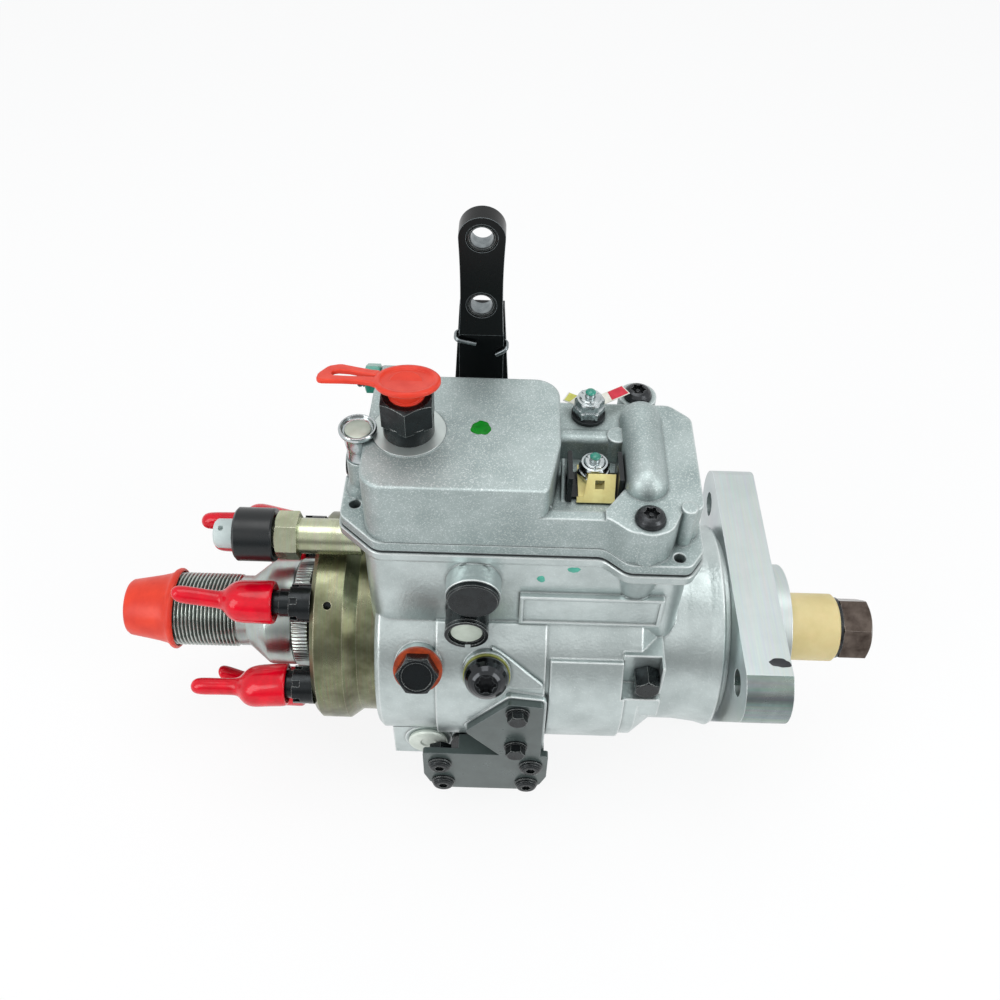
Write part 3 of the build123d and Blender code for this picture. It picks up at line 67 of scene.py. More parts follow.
def makeFinish(name, colour, shade, blotch, grain, depth, rough, metal=0.0, contrast=0.15, paintedGlint=None,
               lines=None, edge=0.25, wearAndHighlight=None, wearAndHighlightAmount=0.0, cornerShade=None, coat=0.0, coatRough=0.1,
               specular=0.5, subsurface=0.0):
    # blotch, grain, depth and edge are millimetres; rough is the smoothest and the roughest
    material = bpy.data.materials.new(name)
    material.use_nodes = True
    tree = material.node_tree
    tree.nodes.clear()
    place = addNode(tree, "TexCoord").outputs["Object"]
    large = addNode(tree, "TexNoise",
                    {"Scale": 1000 / blotch, "Detail": 4.0, "Roughness": 0.6, "Vector": place})
    fine = addNode(tree, "TexNoise", {"Scale": 1000 / grain, "Detail": 2.0, "Vector": place})
    patches = addNode(tree, "MapRange", {0: large.outputs["Fac"], 1: 0.5 - contrast, 2: 0.5 + contrast})
    tint = addNode(tree, "Mix", {0: patches.outputs[0], 6: linear(colour), 7: linear(shade)},
                   data_type="RGBA").outputs[2]
    height = fine.outputs["Fac"]
    if paintedGlint:   # painted glints: random grains coloured bright as if they caught the light
        cells = addNode(tree, "TexVoronoi", {"Scale": 1000 / paintedGlint["size"], "Vector": place})
        lot = addNode(tree, "SeparateColor", {0: cells.outputs["Color"]})
        glintMask = addNode(tree, "MapRange", {0: lot.outputs[0], 1: 1 - paintedGlint["share"], 2: 1.0,
                                            4: paintedGlint["strength"]})
        tint = addNode(tree, "Mix", {0: glintMask.outputs[0], 6: tint, 7: linear(paintedGlint["colour"])},
                       data_type="RGBA").outputs[2]
    if lines:   # tool or drawing marks: noise stretched across one or two axes
        scale = tuple(1000 / size for size in lines["size"])
        stretched = addNode(tree, "Mapping", {"Scale": scale, "Vector": place})
        marks = addNode(tree, "TexNoise", {"Scale": 1.0, "Detail": 3.0, "Vector": stretched.outputs[0]})
        tint = addNode(tree, "Mix", {0: lines["tint"], 6: tint, 7: marks.outputs["Color"]},
                       data_type="RGBA", blend_type="SOFT_LIGHT").outputs[2]
        height = addNode(tree, "Math", {0: marks.outputs["Fac"], 1: lines["depth"] / depth, 2: height},
                         operation="MULTIPLY_ADD").outputs[0]
    soft = addNode(tree, "Bevel", {"Radius": edge * mm}, samples=6)
    if wearAndHighlight or cornerShade:
        facing = addNode(tree, "NewGeometry").outputs["Normal"]
        turn = addNode(tree, "VectorMath", {0: soft.outputs[0], 1: facing}, operation="DOT_PRODUCT")
        corner = addNode(tree, "MapRange",
                         {0: turn.outputs["Value"], 1: cornerRange[0], 2: cornerRange[1]})
        shelter = addNode(tree, "AmbientOcclusion", {"Distance": shelterReach * mm}, samples=4,
                          only_local=False)
        exposed = addNode(tree, "MapRange",
                          {0: shelter.outputs["AO"], 1: shelterRange[0], 2: shelterRange[1]})
        if wearAndHighlight:    # corners that stand proud are rubbed bright, and the same mask paints a highlight on them
            rubbedAndLit = addNode(tree, "Math", {0: corner.outputs[0], 1: exposed.outputs[0]},
                             operation="MULTIPLY")
            rubbedAndLit = addNode(tree, "Math", {0: rubbedAndLit.outputs[0], 1: wearAndHighlightAmount}, operation="MULTIPLY")
            tint = addNode(tree, "Mix", {0: rubbedAndLit.outputs[0], 6: tint, 7: linear(wearAndHighlight)},
                           data_type="RGBA").outputs[2]
        if cornerShade:   # painted shade: the sheltered corners are darkened
            paintedShade = addNode(tree, "Math", {0: 1.0, 1: exposed.outputs[0]}, operation="SUBTRACT")
            paintedShade = addNode(tree, "Math", {0: paintedShade.outputs[0], 1: cornerShadeAmount}, operation="MULTIPLY")
            tint = addNode(tree, "Mix", {0: paintedShade.outputs[0], 6: tint, 7: linear(cornerShade)},
                           data_type="RGBA").outputs[2]
    bump = addNode(tree, "Bump", {"Strength": 1.0, "Distance": depth * mm, "Height": height,
                                  "Normal": soft.outputs[0]})
    gloss = addNode(tree, "MapRange", {0: large.outputs["Fac"], 1: 0.3, 2: 0.7, 3: rough[0], 4: rough[1]})
    shader = addNode(tree, "BsdfPrincipled",
                     {"Metallic": metal, "Coat Weight": coat, "Coat Roughness": coatRough,
                      "Specular IOR Level": specular, "Subsurface Weight": subsurface,
                      "Subsurface Scale": scatterDepth * mm, "Base Color": tint,
                      "Roughness": gloss.outputs[0], "Normal": bump.outputs[0]})
    output = addNode(tree, "OutputMaterial", {"Surface": shader.outputs[0]})
    output.is_active_output = True
    return material


# sand, phosphate and paint grains are drawn at 0.25 to 0.5 mm, coarser than real ones, so that they show
finishes = {
    # sand-textured die casting, bead blasted: flat grey with painted glints of bright grains
    "castCover": dict(colour="#A8B4B3", shade="#93A09F", blotch=22, grain=0.42, depth=0.07,
                      rough=(0.44, 0.56), metal=0.8,
                      paintedGlint=dict(size=0.34, share=0.24, strength=0.5, colour="#E9F0EF"), edge=1.2,
                      wearAndHighlight="#E6EDEC", wearAndHighlightAmount=0.85, cornerShade="#485252"),
    # turned face on the casting: smooth, pale, faint rings
    "facedCasting": dict(colour="#CBD4D1", shade="#BBC5C2", blotch=9, grain=0.5, depth=0.02,
                         rough=(0.3, 0.42), metal=0.8, edge=0.3, wearAndHighlight="#F0F4F3", wearAndHighlightAmount=0.6),
    # smoother casting of the body: brighter, wavy, its edges rubbed and given a painted highlight
    "castHousing": dict(colour="#C4CECD", shade="#B1BBBA", blotch=16, grain=1.3, depth=0.12,
                        rough=(0.28, 0.40), metal=0.85,
                        paintedGlint=dict(size=0.32, share=0.10, strength=0.3, colour="#F0F5F4"), edge=1.3,
                        wearAndHighlight="#F0F5F4", wearAndHighlightAmount=0.9, cornerShade="#4E5858"),
    # milled flange faces: fine straight cutter marks, cool and even
    "milledFlange": dict(colour="#C6CECD", shade="#BAC3C2", blotch=30, grain=0.5, depth=0.02,
                         rough=(0.30, 0.40), metal=0.9,
                         lines=dict(size=(0.8, 30, 30), depth=0.02, tint=0.25), edge=0.4, wearAndHighlight="#EEF2F3",
                         wearAndHighlightAmount=0.8),
    # front end face of the flange: painted shade, darker and duller than the milled faces, its streaks a
    # painted reflection
    "shadedFlangeEnd": dict(colour="#8D9997", shade="#74807E", blotch=12, grain=0.6, depth=0.03,
                     rough=(0.22, 0.36), metal=0.9, lines=dict(size=(30, 30, 1.2), depth=0.03, tint=0.3),
                     edge=0.4, wearAndHighlight="#E8EEED", wearAndHighlightAmount=0.8),
    # zinc over steel gone olive brown, turned rings still showing
    "oliveZinc": dict(colour="#83856B", shade="#5A5B44", blotch=14, grain=0.4, depth=0.012,
                      rough=(0.23, 0.36), metal=0.9,
                      lines=dict(size=(0.35, 20, 20), depth=0.02, tint=0.3), edge=0.5, wearAndHighlight="#C9C5AE",
                      wearAndHighlightAmount=0.7),
    # the same plate, thinner and paler: turned steel shines through it
    "paleOlive": dict(colour="#BCC0A6", shade="#A2A68B", blotch=8, grain=0.3, depth=0.01,
                      rough=(0.20, 0.32), metal=0.95,
                      lines=dict(size=(0.3, 15, 15), depth=0.01, tint=0.25), edge=0.3, wearAndHighlight="#E8E6D4",
                      wearAndHighlightAmount=0.6),
    # bright zinc plate: cool white silver
    "brightZinc": dict(colour="#C4CBCC", shade="#A9B1B3", blotch=5, grain=0.3, depth=0.008,
                       rough=(0.16, 0.30), metal=1.0, edge=0.2, wearAndHighlight="#F4F7F7", wearAndHighlightAmount=0.5),
    # turned steel of the inlet: satin rings round the axis
    "turnedSteel": dict(colour="#B4BCB8", shade="#9DA5A1", blotch=10, grain=0.4, depth=0.01,
                        rough=(0.26, 0.38), metal=1.0,
                        lines=dict(size=(0.3, 20, 20), depth=0.012, tint=0.3), edge=0.2, wearAndHighlight="#E9ECEA",
                        wearAndHighlightAmount=0.5),
    # cut thread: bright crests, roots darkened with painted shade
    "threadSteel": dict(colour="#C3CAC5", shade="#AEB6B0", blotch=10, grain=0.4, depth=0.01,
                        rough=(0.22, 0.34), metal=1.0, edge=0.08, cornerShade="#2C3330"),
    # ground and hardened steel: even and nearly mirror bright
    "groundSteel": dict(colour="#BFC4C6", shade="#B0B5B8", blotch=12, grain=0.3, depth=0.004,
                        rough=(0.14, 0.24), metal=1.0, edge=0.2),
    # black phosphate: sooty matt grey black, corners rubbed to steel and given a painted highlight
    "blackPhosphate": dict(colour="#202527", shade="#16191B", blotch=4, grain=0.25, depth=0.015,
                           rough=(0.2, 0.34), metal=0.6, edge=0.3, wearAndHighlight="#AEB3B1", wearAndHighlightAmount=0.75),
    # satin black enamel on pressed steel: even skin with the faintest orange peel
    "blackEnamel": dict(colour="#080B0C", shade="#060809", blotch=12, grain=1.1, depth=0.012,
                        rough=(0.2, 0.3), edge=0.35, wearAndHighlight="#8E9698", wearAndHighlightAmount=0.9, specular=0.2),
    # grey enamel under a clear coat on thick plate: dark slate with a soft gloss
    "bracketEnamel": dict(colour="#4E5957", shade="#454F4D", blotch=12, grain=0.9, depth=0.015,
                          rough=(0.26, 0.36), metal=0.3, edge=0.4, wearAndHighlight="#8D9294", wearAndHighlightAmount=0.6,
                          coat=0.3, coatRough=0.2),
    # moulded nylon, black: soft sheen
    "blackNylon": dict(colour="#14191B", shade="#0F1315", blotch=8, grain=0.5, depth=0.012,
                       rough=(0.24, 0.34), edge=0.35, wearAndHighlight="#5B6467", wearAndHighlightAmount=0.4, specular=0.4),
    # moulded nylon, grey: milky, with no sharp highlight
    "greyNylon": dict(colour="#C6D1CF", shade="#B8C4C2", blotch=6, grain=0.4, depth=0.01,
                      rough=(0.38, 0.46), edge=0.3),
    # browned steel of the shaft's nut: mottled brown to nearly black, corners rubbed and given a painted
    # highlight
    "brownSteel": dict(colour="#6A6059", shade="#3E3530", blotch=7, grain=0.4, depth=0.01,
                       rough=(0.16, 0.27), metal=0.95, edge=0.4, wearAndHighlight="#A59C95", wearAndHighlightAmount=0.6),
    # dipped vinyl: wet-looking crimson, thick and soft at the rims
    "dippedVinyl": dict(colour="#E00022", shade="#C6001C", blotch=7, grain=2.2, depth=0.05,
                        rough=(0.16, 0.26), edge=0.8, coat=0.35, coatRough=0.08, specular=0.2,
                        subsurface=0.05),
    # injection moulded polyethylene: waxy orange red
    "redPolythene": dict(colour="#E43E22", shade="#D4301A", blotch=10, grain=1.2, depth=0.03,
                         rough=(0.34, 0.48), edge=0.6, subsurface=0.1, specular=0.4, wearAndHighlight="#F26450",
                         wearAndHighlightAmount=0.5),
    # turned nylon sleeve: warm cream, light goes a little way in
    "creamNylon": dict(colour="#E1CF98", shade="#D6C389", blotch=14, grain=0.8, depth=0.015,
                       rough=(0.4, 0.5), edge=0.5, subsurface=0.1),
    # chromated spade tab: pale yellow with a low satin sheen
    "creamTab": dict(colour="#FBEFA4", shade="#ECDA8C", blotch=6, grain=0.5, depth=0.01,
                     rough=(0.3, 0.42), metal=0.05, edge=0.25, wearAndHighlight="#FBF1BC", wearAndHighlightAmount=0.6),
    # bonded rubber seal: dull orange brown
    "orangeSeal": dict(colour="#BC4A1C", shade="#8E3212", blotch=4, grain=0.8, depth=0.02,
                       rough=(0.35, 0.5), edge=0.2),
    # yellow zinc plate: thin greenish gold
    "yellowZinc": dict(colour="#B9BC6C", shade="#A3A65A", blotch=3, grain=0.3, depth=0.01,
                       rough=(0.25, 0.4), metal=0.8, edge=0.15),
    # burnished dark plug: almost a mirror
    "burnishedSteel": dict(colour="#2B2E31", shade="#1F2225", blotch=6, grain=0.5, depth=0.004,
                           rough=(0.10, 0.2), metal=0.9, edge=0.25, wearAndHighlight="#9EA3A5", wearAndHighlightAmount=0.35,
                           coat=0.5),
    # clear zinc gone chalky: pale, a little green
    "paleZinc": dict(colour="#E9F0E6", shade="#DBE3D8", blotch=4, grain=0.4, depth=0.01,
                     rough=(0.36, 0.5), metal=0.2, edge=0.3, wearAndHighlight="#F4F7F1", wearAndHighlightAmount=0.4),
    # lacquered disc: flat grey green
    "sealFace": dict(colour="#C2CBBF", shade="#B5BFB1", blotch=5, grain=0.5, depth=0.008,
                     rough=(0.34, 0.45), metal=0.4, edge=0.15),
    # oiled black screws: near black, corners worn to grey and given a painted highlight
    "darkScrew": dict(colour="#3C3E40", shade="#2E3032", blotch=3, grain=0.3, depth=0.01,
                      rough=(0.2, 0.34), metal=0.8, edge=0.25, wearAndHighlight="#A6A8A8", wearAndHighlightAmount=0.5),
    # pressed paper joint: a matt charcoal line
    "paperGasket": dict(colour="#2A2E2F", shade="#222526", blotch=4, grain=0.3, depth=0.02,
                        rough=(0.6, 0.75), edge=0.1),
    # drawn wire, oiled: dark, with a thin bright line along it
    "springWire": dict(colour="#8A9193", shade="#70777A", blotch=3, grain=0.3, depth=0.006,
                       rough=(0.2, 0.32), metal=1.0, edge=0.1),
    # locking lacquer: thick, wet looking, teal
    "tealLacquer": dict(colour="#1E8C78", shade="#167562", blotch=2, grain=0.5, depth=0.02,
                        rough=(0.2, 0.34), edge=0.2, coat=0.4),
    # inspector's paint: a thick saturated dab
    "greenPaint": dict(colour="#07801B", shade="#056814", blotch=2, grain=0.8, depth=0.02,
                       rough=(0.25, 0.4), edge=0.15, specular=0.15),
    # thin paint drops: pale and matt
    "palePaint": dict(colour="#4FAE98", shade="#45A08B", blotch=2, grain=0.6, depth=0.01,
                      rough=(0.4, 0.5), edge=0.1),
    # marker ink: flat blue black
    "markerInk": dict(colour="#14181F", shade="#0E1116", blotch=2, grain=0.4, depth=0.01,
                      rough=(0.4, 0.55), edge=0.1),
    # coated paper: off-white and matt
    "paperTag": dict(colour="#E9E7DC", shade="#DAD8CB", blotch=3, grain=0.3, depth=0.01,
                     rough=(0.5, 0.65), edge=0.1),
    # printed ends of the paper tag, red and yellow
    "tagRed": dict(colour="#D0263C", shade="#C01F34", blotch=2, grain=0.4, depth=0.01, rough=(0.45, 0.6),
                   edge=0.1),
    "tagYellow": dict(colour="#D6D46A", shade="#C7C55C", blotch=2, grain=0.4, depth=0.01,
                      rough=(0.45, 0.6), edge=0.1),
}
made = {name: makeFinish(name, **look) for name, look in finishes.items()}
print("finishes made:", len(made))


# which finish each part of the frame takes
finishOf = {
    "main_housing": "castHousing", "cover_gasket": "paperGasket", "governor_cover": "castCover",
    "cover_screws": "darkScrew", "seal_cup": "brightZinc", "side_screw": "blackPhosphate",
    "return_fitting": "blackPhosphate", "return_cap": "redPolythene",
    "terminal_insulators": "blackNylon", "terminal_studs": "brightZinc", "terminal_nuts": "brightZinc",
    "spade_tab": "creamTab", "terminal_guard": "blackNylon", "hydraulic_head": "oliveZinc",
    "delivery_holders": "blackPhosphate", "end_cap_seal": "blackNylon", "inlet_connector": "turnedSteel",
    "inlet_cap": "redPolythene", "line_connector": "paleOlive", "line_cap": "blackNylon",
    "bore_plugs": "blackPhosphate", "pivot_snap_ring": "blackPhosphate", "lock_washers": "orangeSeal",
    "lock_screws": "blackPhosphate", "dome_washer": "yellowZinc", "dome_plug": "burnishedSteel",
    "port_plug": "paleZinc", "pocket_bolt": "blackPhosphate", "side_bracket": "bracketEnamel",
    "bracket_screws": "blackPhosphate", "gusset_bolts": "blackPhosphate", "drive_shaft": "groundSteel",
    "shaft_sleeve": "creamNylon", "shaft_washer": "darkScrew", "shaft_nut": "brownSteel",
    "shaft_bearing": "groundSteel", "shaft_seal": "blackNylon", "governor_cage": "turnedSteel",
    "governor_weights": "groundSteel", "thrust_sleeve": "groundSteel",
    "distributor_rotor": "groundSteel", "cam_rollers": "groundSteel", "cam_ring": "groundSteel",
    "advance_piston": "groundSteel", "advance_plugs": "blackPhosphate", "pivot_pin": "groundSteel",
    "governor_arm": "turnedSteel", "metering_valve": "groundSteel", "throttle_shaft": "groundSteel",
    "throttle_spring": "springWire", "lever_arm": "blackEnamel", "throttle_lever": "blackEnamel",
    "lever_bushes": "blackEnamel", "lever_nut": "blackPhosphate",
}
for i in range(6):
    finishOf["delivery_cap_%d" % (i + 1)] = "dippedVinyl"
for name, node in nodes.items():
    node.data.materials.clear()
    node.data.materials.append(made[finishOf[name]])


def paintFaces(node, finish, rule):
    # faces whose middle, in millimetres, and normal meet the rule take another finish
    node.data.materials.append(made[finish])
    index = len(node.data.materials) - 1
    for face in node.data.polygons:
        if rule(face.center / mm, face.normal):
            face.material_index = index


# where a part carries a second finish, in millimetres
secondFinish = dict(flangeBack=-19.4, shadedEndSide=-40, greyEnd=-229.7, facedTop=120.4, paintedArmHighlight=(130, 133))
paintFaces(nodes["main_housing"], "milledFlange", lambda c, n: c.x > secondFinish["flangeBack"])
# painted shade: the flange's end face toward the front takes a darker finish
paintFaces(nodes["main_housing"], "shadedFlangeEnd",
           lambda c, n: (c.x > secondFinish["flangeBack"] and c.y < secondFinish["shadedEndSide"]
                         and n.y < -0.3 and abs(n.x) < 0.5))
paintFaces(nodes["line_cap"], "greyNylon", lambda c, n: c.x < secondFinish["greyEnd"])
paintFaces(nodes["governor_cover"], "facedCasting", lambda c, n: c.z > secondFinish["facedTop"] and n.z > 0.9)
# painted highlight: the top face of the lever web takes bright wire steel as a thin light line
paintFaces(nodes["lever_arm"], "springWire",
           lambda c, n: secondFinish["paintedArmHighlight"][0] < c.z < secondFinish["paintedArmHighlight"][1] and n.z > 0.9)
print("frame finished")


def makePiece(name, mesh, finish, body, sharp=40):
    mesh.shade_smooth()
    mesh.set_sharp_from_angle(angle=math.radians(sharp))
    thing = bpy.data.objects.new(name, mesh)
    bpy.context.scene.collection.objects.link(thing)
    mesh.materials.append(made[finish])
    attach(thing, body)
    return thing


def joinRings(shape, first, second):
    for k in range(len(first)):
        j = (k + 1) % len(first)
        shape.faces.new((first[k], first[j], second[j], second[k]))


def closeMesh(shape, name):
    bmesh.ops.recalc_face_normals(shape, faces=shape.faces)
    mesh = bpy.data.meshes.new(name)
    shape.to_mesh(mesh)
    shape.free()
    return mesh


def roundEdges(piece, width, segments):
    modifier = piece.modifiers.new("soften", "BEVEL")
    modifier.width = width * mm
    modifier.segments = segments


def turned(profile, start, direction, steps=72, radiusAt=None):
    # (distance, radius) points in millimetres turned about a line; radiusAt(distance, radius, angle) reshapes
    axis = Vector(direction).normalized()
    side = Vector((0, 0, 1)) if abs(axis.z) < 0.9 else Vector((1, 0, 0))
    side = (side - axis * side.dot(axis)).normalized()
    other = axis.cross(side)
    shape = bmesh.new()
    rings = []
    for distance, radius in profile:
        if radius == 0:
            rings.append([shape.verts.new((Vector(start) + axis * distance) * mm)])
            continue
        ring = []
        for i in range(steps):
            angle = 2 * math.pi * i / steps
            r = radiusAt(distance, radius, angle) if radiusAt else radius
            point = Vector(start) + axis * distance + side * (r * math.cos(angle))
            ring.append(shape.verts.new((point + other * (r * math.sin(angle))) * mm))
        rings.append(ring)
    pairs = list(zip(rings, rings[1:]))
    if len(rings[0]) > 1 and len(rings[-1]) > 1:
        pairs.append((rings[-1], rings[0]))
    for a, b in pairs:
        if len(a) > 1 and len(b) > 1:
            joinRings(shape, a, b)
            continue
        for i in range(steps):
            j = (i + 1) % steps
            shape.faces.new((a[0], b[j], b[i]) if len(a) == 1 else (a[i], a[j], b[0]))
    return closeMesh(shape, "turned")


def hexRadius(flats, radius, angle):
    # cuts a turned blank's wall back to a hexagon with a corner at angle 0
    reach = flats / 2 / math.cos(angle % (math.pi / 3) - math.pi / 6)
    return min(radius, reach)


def plate(name, outline, start, across, away, thick, finish, body="pump", bevel=0.0):
    # flat outline in millimetres, thickened along across x away
    out = Vector(across).cross(Vector(away)).normalized()
    shape = bmesh.new()
    low = [shape.verts.new((Vector(start) + Vector(across) * u + Vector(away) * v) * mm) for u, v in outline]
    high = [shape.verts.new(v.co + out * thick * mm) for v in low]
    joinRings(shape, low, high)
    shape.faces.new(low)
    shape.faces.new(high)
    piece = makePiece(name, closeMesh(shape, name), finish, body, 40)
    if bevel:
        roundEdges(piece, bevel, 2)
    return piece


def ridge(wave, steep, root):
    # 0 in the root, 1 on the crest, straight flanks between
    return min(1.0, max(0.0, steep * abs(wave - 0.5) - root))


# fuel inlet: threaded end, hub and knurled nut ring
inlet = dict(start=-268.0, threadEnd=-237.0, bore=12.0, pitch=1.75, major=16.8, minor=15.6, steep=3.2,
             root=0.2, runIn=1.5, runOut=1.0, ring=24.8, ringStart=-210.5, teeth=84, toothDepth=0.7,
             toothRoot=0.3, toothRunIn=0.6)
# (X, radius) round each turned piece
hubProfile = [
    (-237.0, 12.0), (-237.0, 16.0), (-236.4, 16.2), (-232.5, 16.2), (-231.6, 16.6), (-222.6, 23.8),
    (-221.4, 24.2), (-211.2, 24.2), (-210.5, 23.9), (-210.5, 16.0), (-212.0, 16.0), (-216.0, 12.0)]
knurlProfile = [
    (-210.5, 16.0), (-210.5, 23.6), (-210.0, 24.1), (-209.6, 24.8), (-203.6, 24.8), (-203.02, 24.4),
    (-203.02, 16.0)]


def threadProfile():
    # eight rings to a turn of the thread
    first, last = inlet["start"], inlet["threadEnd"]
    points = [(first, inlet["bore"]), (first, inlet["minor"])]
    count = int((last - first) / inlet["pitch"] * 8)
    for i in range(1, count):
        points.append((first + (last - first) * i / count, inlet["major"]))
    points += [(last, inlet["minor"]), (last, inlet["bore"])]
    return points


def threadRadius(distance, radius, angle):
    if radius < inlet["major"]:
        return radius
    wave = (distance / inlet["pitch"] + angle / (2 * math.pi)) % 1.0
    ends = min(1.0, (distance - inlet["start"]) / inlet["runIn"],
               (inlet["threadEnd"] - distance) / inlet["runOut"])
    raised = ridge(wave, inlet["steep"], inlet["root"]) * max(0.0, ends)
    return inlet["minor"] + (inlet["major"] - inlet["minor"]) * raised


def knurlRadius(distance, radius, angle):
    if radius < inlet["ring"] or distance < inlet["ringStart"] + inlet["toothRunIn"]:
        return radius
    wave = (angle * inlet["teeth"] / (2 * math.pi)) % 1.0
    return radius - inlet["toothDepth"] * ridge(wave, inlet["steep"], inlet["toothRoot"])


thread = makePiece("inletThread", turned(threadProfile(), (0, 0, 0), (1, 0, 0), 96, threadRadius),
                   "threadSteel", "pump", 60)
makePiece("inletHub", turned(hubProfile, (0, 0, 0), (1, 0, 0), 96), "turnedSteel", "pump", 30)
makePiece("inletKnurl", turned(knurlProfile, (0, 0, 0), (1, 0, 0), inlet["teeth"] * 6, knurlRadius),
          "turnedSteel", "pump", 60)
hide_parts("inlet_connector")
print("inlet made")

# inlet cap: soft moulded cup whose lip has rolled outwards, further on one side
softCap = dict(lip=-270.0, lipLength=5.0, lipRadius=18.0, lean=0.9, dent=0.012, dentFrom=-268.0,
               dentFade=8.0)
softCapProfile = [
    (-289.6, 0), (-289.6, 9.0), (-289.5, 11.0), (-289.0, 12.3), (-287.9, 13.1), (-284.5, 13.7),
    (-280.0, 14.5), (-275.0, 15.4), (-271.5, 16.2), (-269.6, 16.8), (-268.9, 17.4), (-268.3, 18.2),
    (-267.4, 18.7), (-266.5, 18.7), (-265.8, 18.2), (-265.6, 17.6), (-266.1, 17.2), (-267.0, 17.0),
    (-268.3, 16.95), (-268.6, 15.4), (-280.0, 13.2), (-287.6, 11.4), (-287.9, 0)]


def dentedRadius(distance, radius, angle):
    share = min(1, max(0, (softCap["dentFrom"] - distance) / softCap["dentFade"]))
    return radius * (1 + softCap["dent"] * math.sin(2 * angle + 0.6) * share)


capMesh = turned(softCapProfile, (0, 0, 0), (1, 0, 0), 96, dentedRadius)
for corner in capMesh.vertices:
    past = max(0.0, corner.co.x / mm - softCap["lip"]) / softCap["lipLength"]
    corner.co.x += past * softCap["lean"] * (corner.co.z / mm / softCap["lipRadius"]) * mm
inletCap = makePiece("inletCap", capMesh, "redPolythene", "inlet_cap", 50)
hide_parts("inlet_cap")
print("inlet cap made")


# dipped vinyl caps on the outlets, numbered from the front one upwards round the shaft
vinyl = dict(circle=39.0, mouth=-212.4, neck=20.5, tail=26.4, steps=32, bore=((13.5, 5.8), (14.5, 4.6)),
             tilts=(-3, 13, -5, 0, 10, 31),         # degrees that each tail points up
             leans=(-9, 0, 20, 0, 0, 0),            # degrees that each body sags or lifts
             slips=(2.4, -1.6, 2.0, 0, 0, 3.0),     # how much further each is pushed on
             tails=(0.9, 0.9, 0.85, 1, 1, 0.85),    # share of the full tail
             drops=(0.4, 0, -0.4, 0, 0, 0),
             cover=6.6, grip=16.0)                  # the wall stays this far out round the outlet's end
# (distance from the mouth, radius, how far the section is squeezed)
vinylSections = [
    (0.0, 6.4, 1.0), (0.0, 8.6, 1.0), (0.5, 9.35, 1.0), (2.5, 9.5, 1.0), (7.0, 9.35, 1.0),
    (12.0, 9.35, 1.0), (15.5, 9.2, 1.0), (18.5, 8.3, 0.98), (20.6, 6.4, 0.95), (22.2, 4.9, 0.9),
    (24.0, 4.25, 0.86), (27.0, 4.15, 0.84), (34.0, 4.2, 0.84), (40.0, 4.25, 0.86), (43.6, 3.9, 0.9),
    (45.4, 2.9, 0.95), (46.4, 1.6, 1.0)]


def vinylCap(index):
    turnTo = math.radians(60 * index)
    outlet = Vector((0, -vinyl["circle"] * math.cos(turnTo), vinyl["circle"] * math.sin(turnTo)))
    middle = outlet - Vector((0, 0, vinyl["drops"][index]))
    tilt = math.radians(vinyl["tilts"][index])
    slope = math.tan(math.radians(vinyl["leans"][index]))
    mouth = vinyl["mouth"] + vinyl["slips"][index]
    neck, steps = vinyl["neck"], vinyl["steps"]
    sway = random.Random(20 + index).uniform(-0.25, 0.25)
    angles = [2 * math.pi * k / steps for k in range(steps)]
    shape = bmesh.new()
    rings = []
    for distance, radius, squeeze in vinylSections:
        bend = max(0.0, distance - neck)
        short = bend * (1 - vinyl["tails"][index])
        centre = Vector((mouth - distance + bend - (bend - short) * math.cos(tilt), sway * bend * 0.1,
                         (bend - short) * math.sin(tilt) + min(distance, neck) * slope)) + middle
        ring = []
        for angle in angles:
            sag = 1 + 0.012 * math.sin(3 * angle + index) * (1 if 3 < distance < 19 else 0)
            point = centre - outlet + Vector((0, math.cos(angle) * radius * squeeze * sag,
                                              math.sin(angle) * radius * sag))
            away = math.hypot(point.y, point.z)
            if 0.2 < distance < vinyl["grip"] and away < vinyl["cover"]:
                point.y, point.z = point.y / away * vinyl["cover"], point.z / away * vinyl["cover"]
            ring.append(shape.verts.new((outlet + point) * mm))
        rings.append(ring)
    tail = vinyl["tail"] * vinyl["tails"][index]
    tip = shape.verts.new((Vector((mouth - neck - tail * math.cos(tilt), sway * 2.6,
                                   tail * math.sin(tilt) + neck * slope)) + middle) * mm)
    inner = []
    for distance, radius in vinyl["bore"]:
        inner.append([shape.verts.new((Vector((mouth - distance, math.cos(angle) * radius,
                                               math.sin(angle) * radius)) + middle) * mm)
                      for angle in angles])
    for a, b in list(zip(rings, rings[1:])) + [(rings[0], inner[0]), (inner[0], inner[1])]:
        joinRings(shape, a, b)
    for k in range(steps):
        shape.faces.new((rings[-1][k], rings[-1][(k + 1) % steps], tip))
    shape.faces.new(inner[1])
    cap = makePiece("vinylCap%d" % (index + 1), closeMesh(shape, "vinylCap"), "dippedVinyl",
                    "delivery_cap_%d" % (index + 1), 80)
    smooth = cap.modifiers.new("round", "SUBSURF")
    smooth.levels = smooth.render_levels = 1
    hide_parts("delivery_cap_%d" % (index + 1))


for i in range(6):
    vinylCap(i)
print("vinyl caps made")

# terminals: a wide nut, a washer, a crowned nut, and lacquer on the stud's tip
terminals = dict(places=((-84.6, 24.3, 107.5), (-83.0, -1.8, 98.0)), feet=(1.64, 2.66), wide=11.0,
                 narrow=10.4, bore=2.08, wideTop=5.45, narrowFrom=5.98, crownFrom=9.55, slits=3,
                 slitDepth=1.1, slitWidth=0.05)


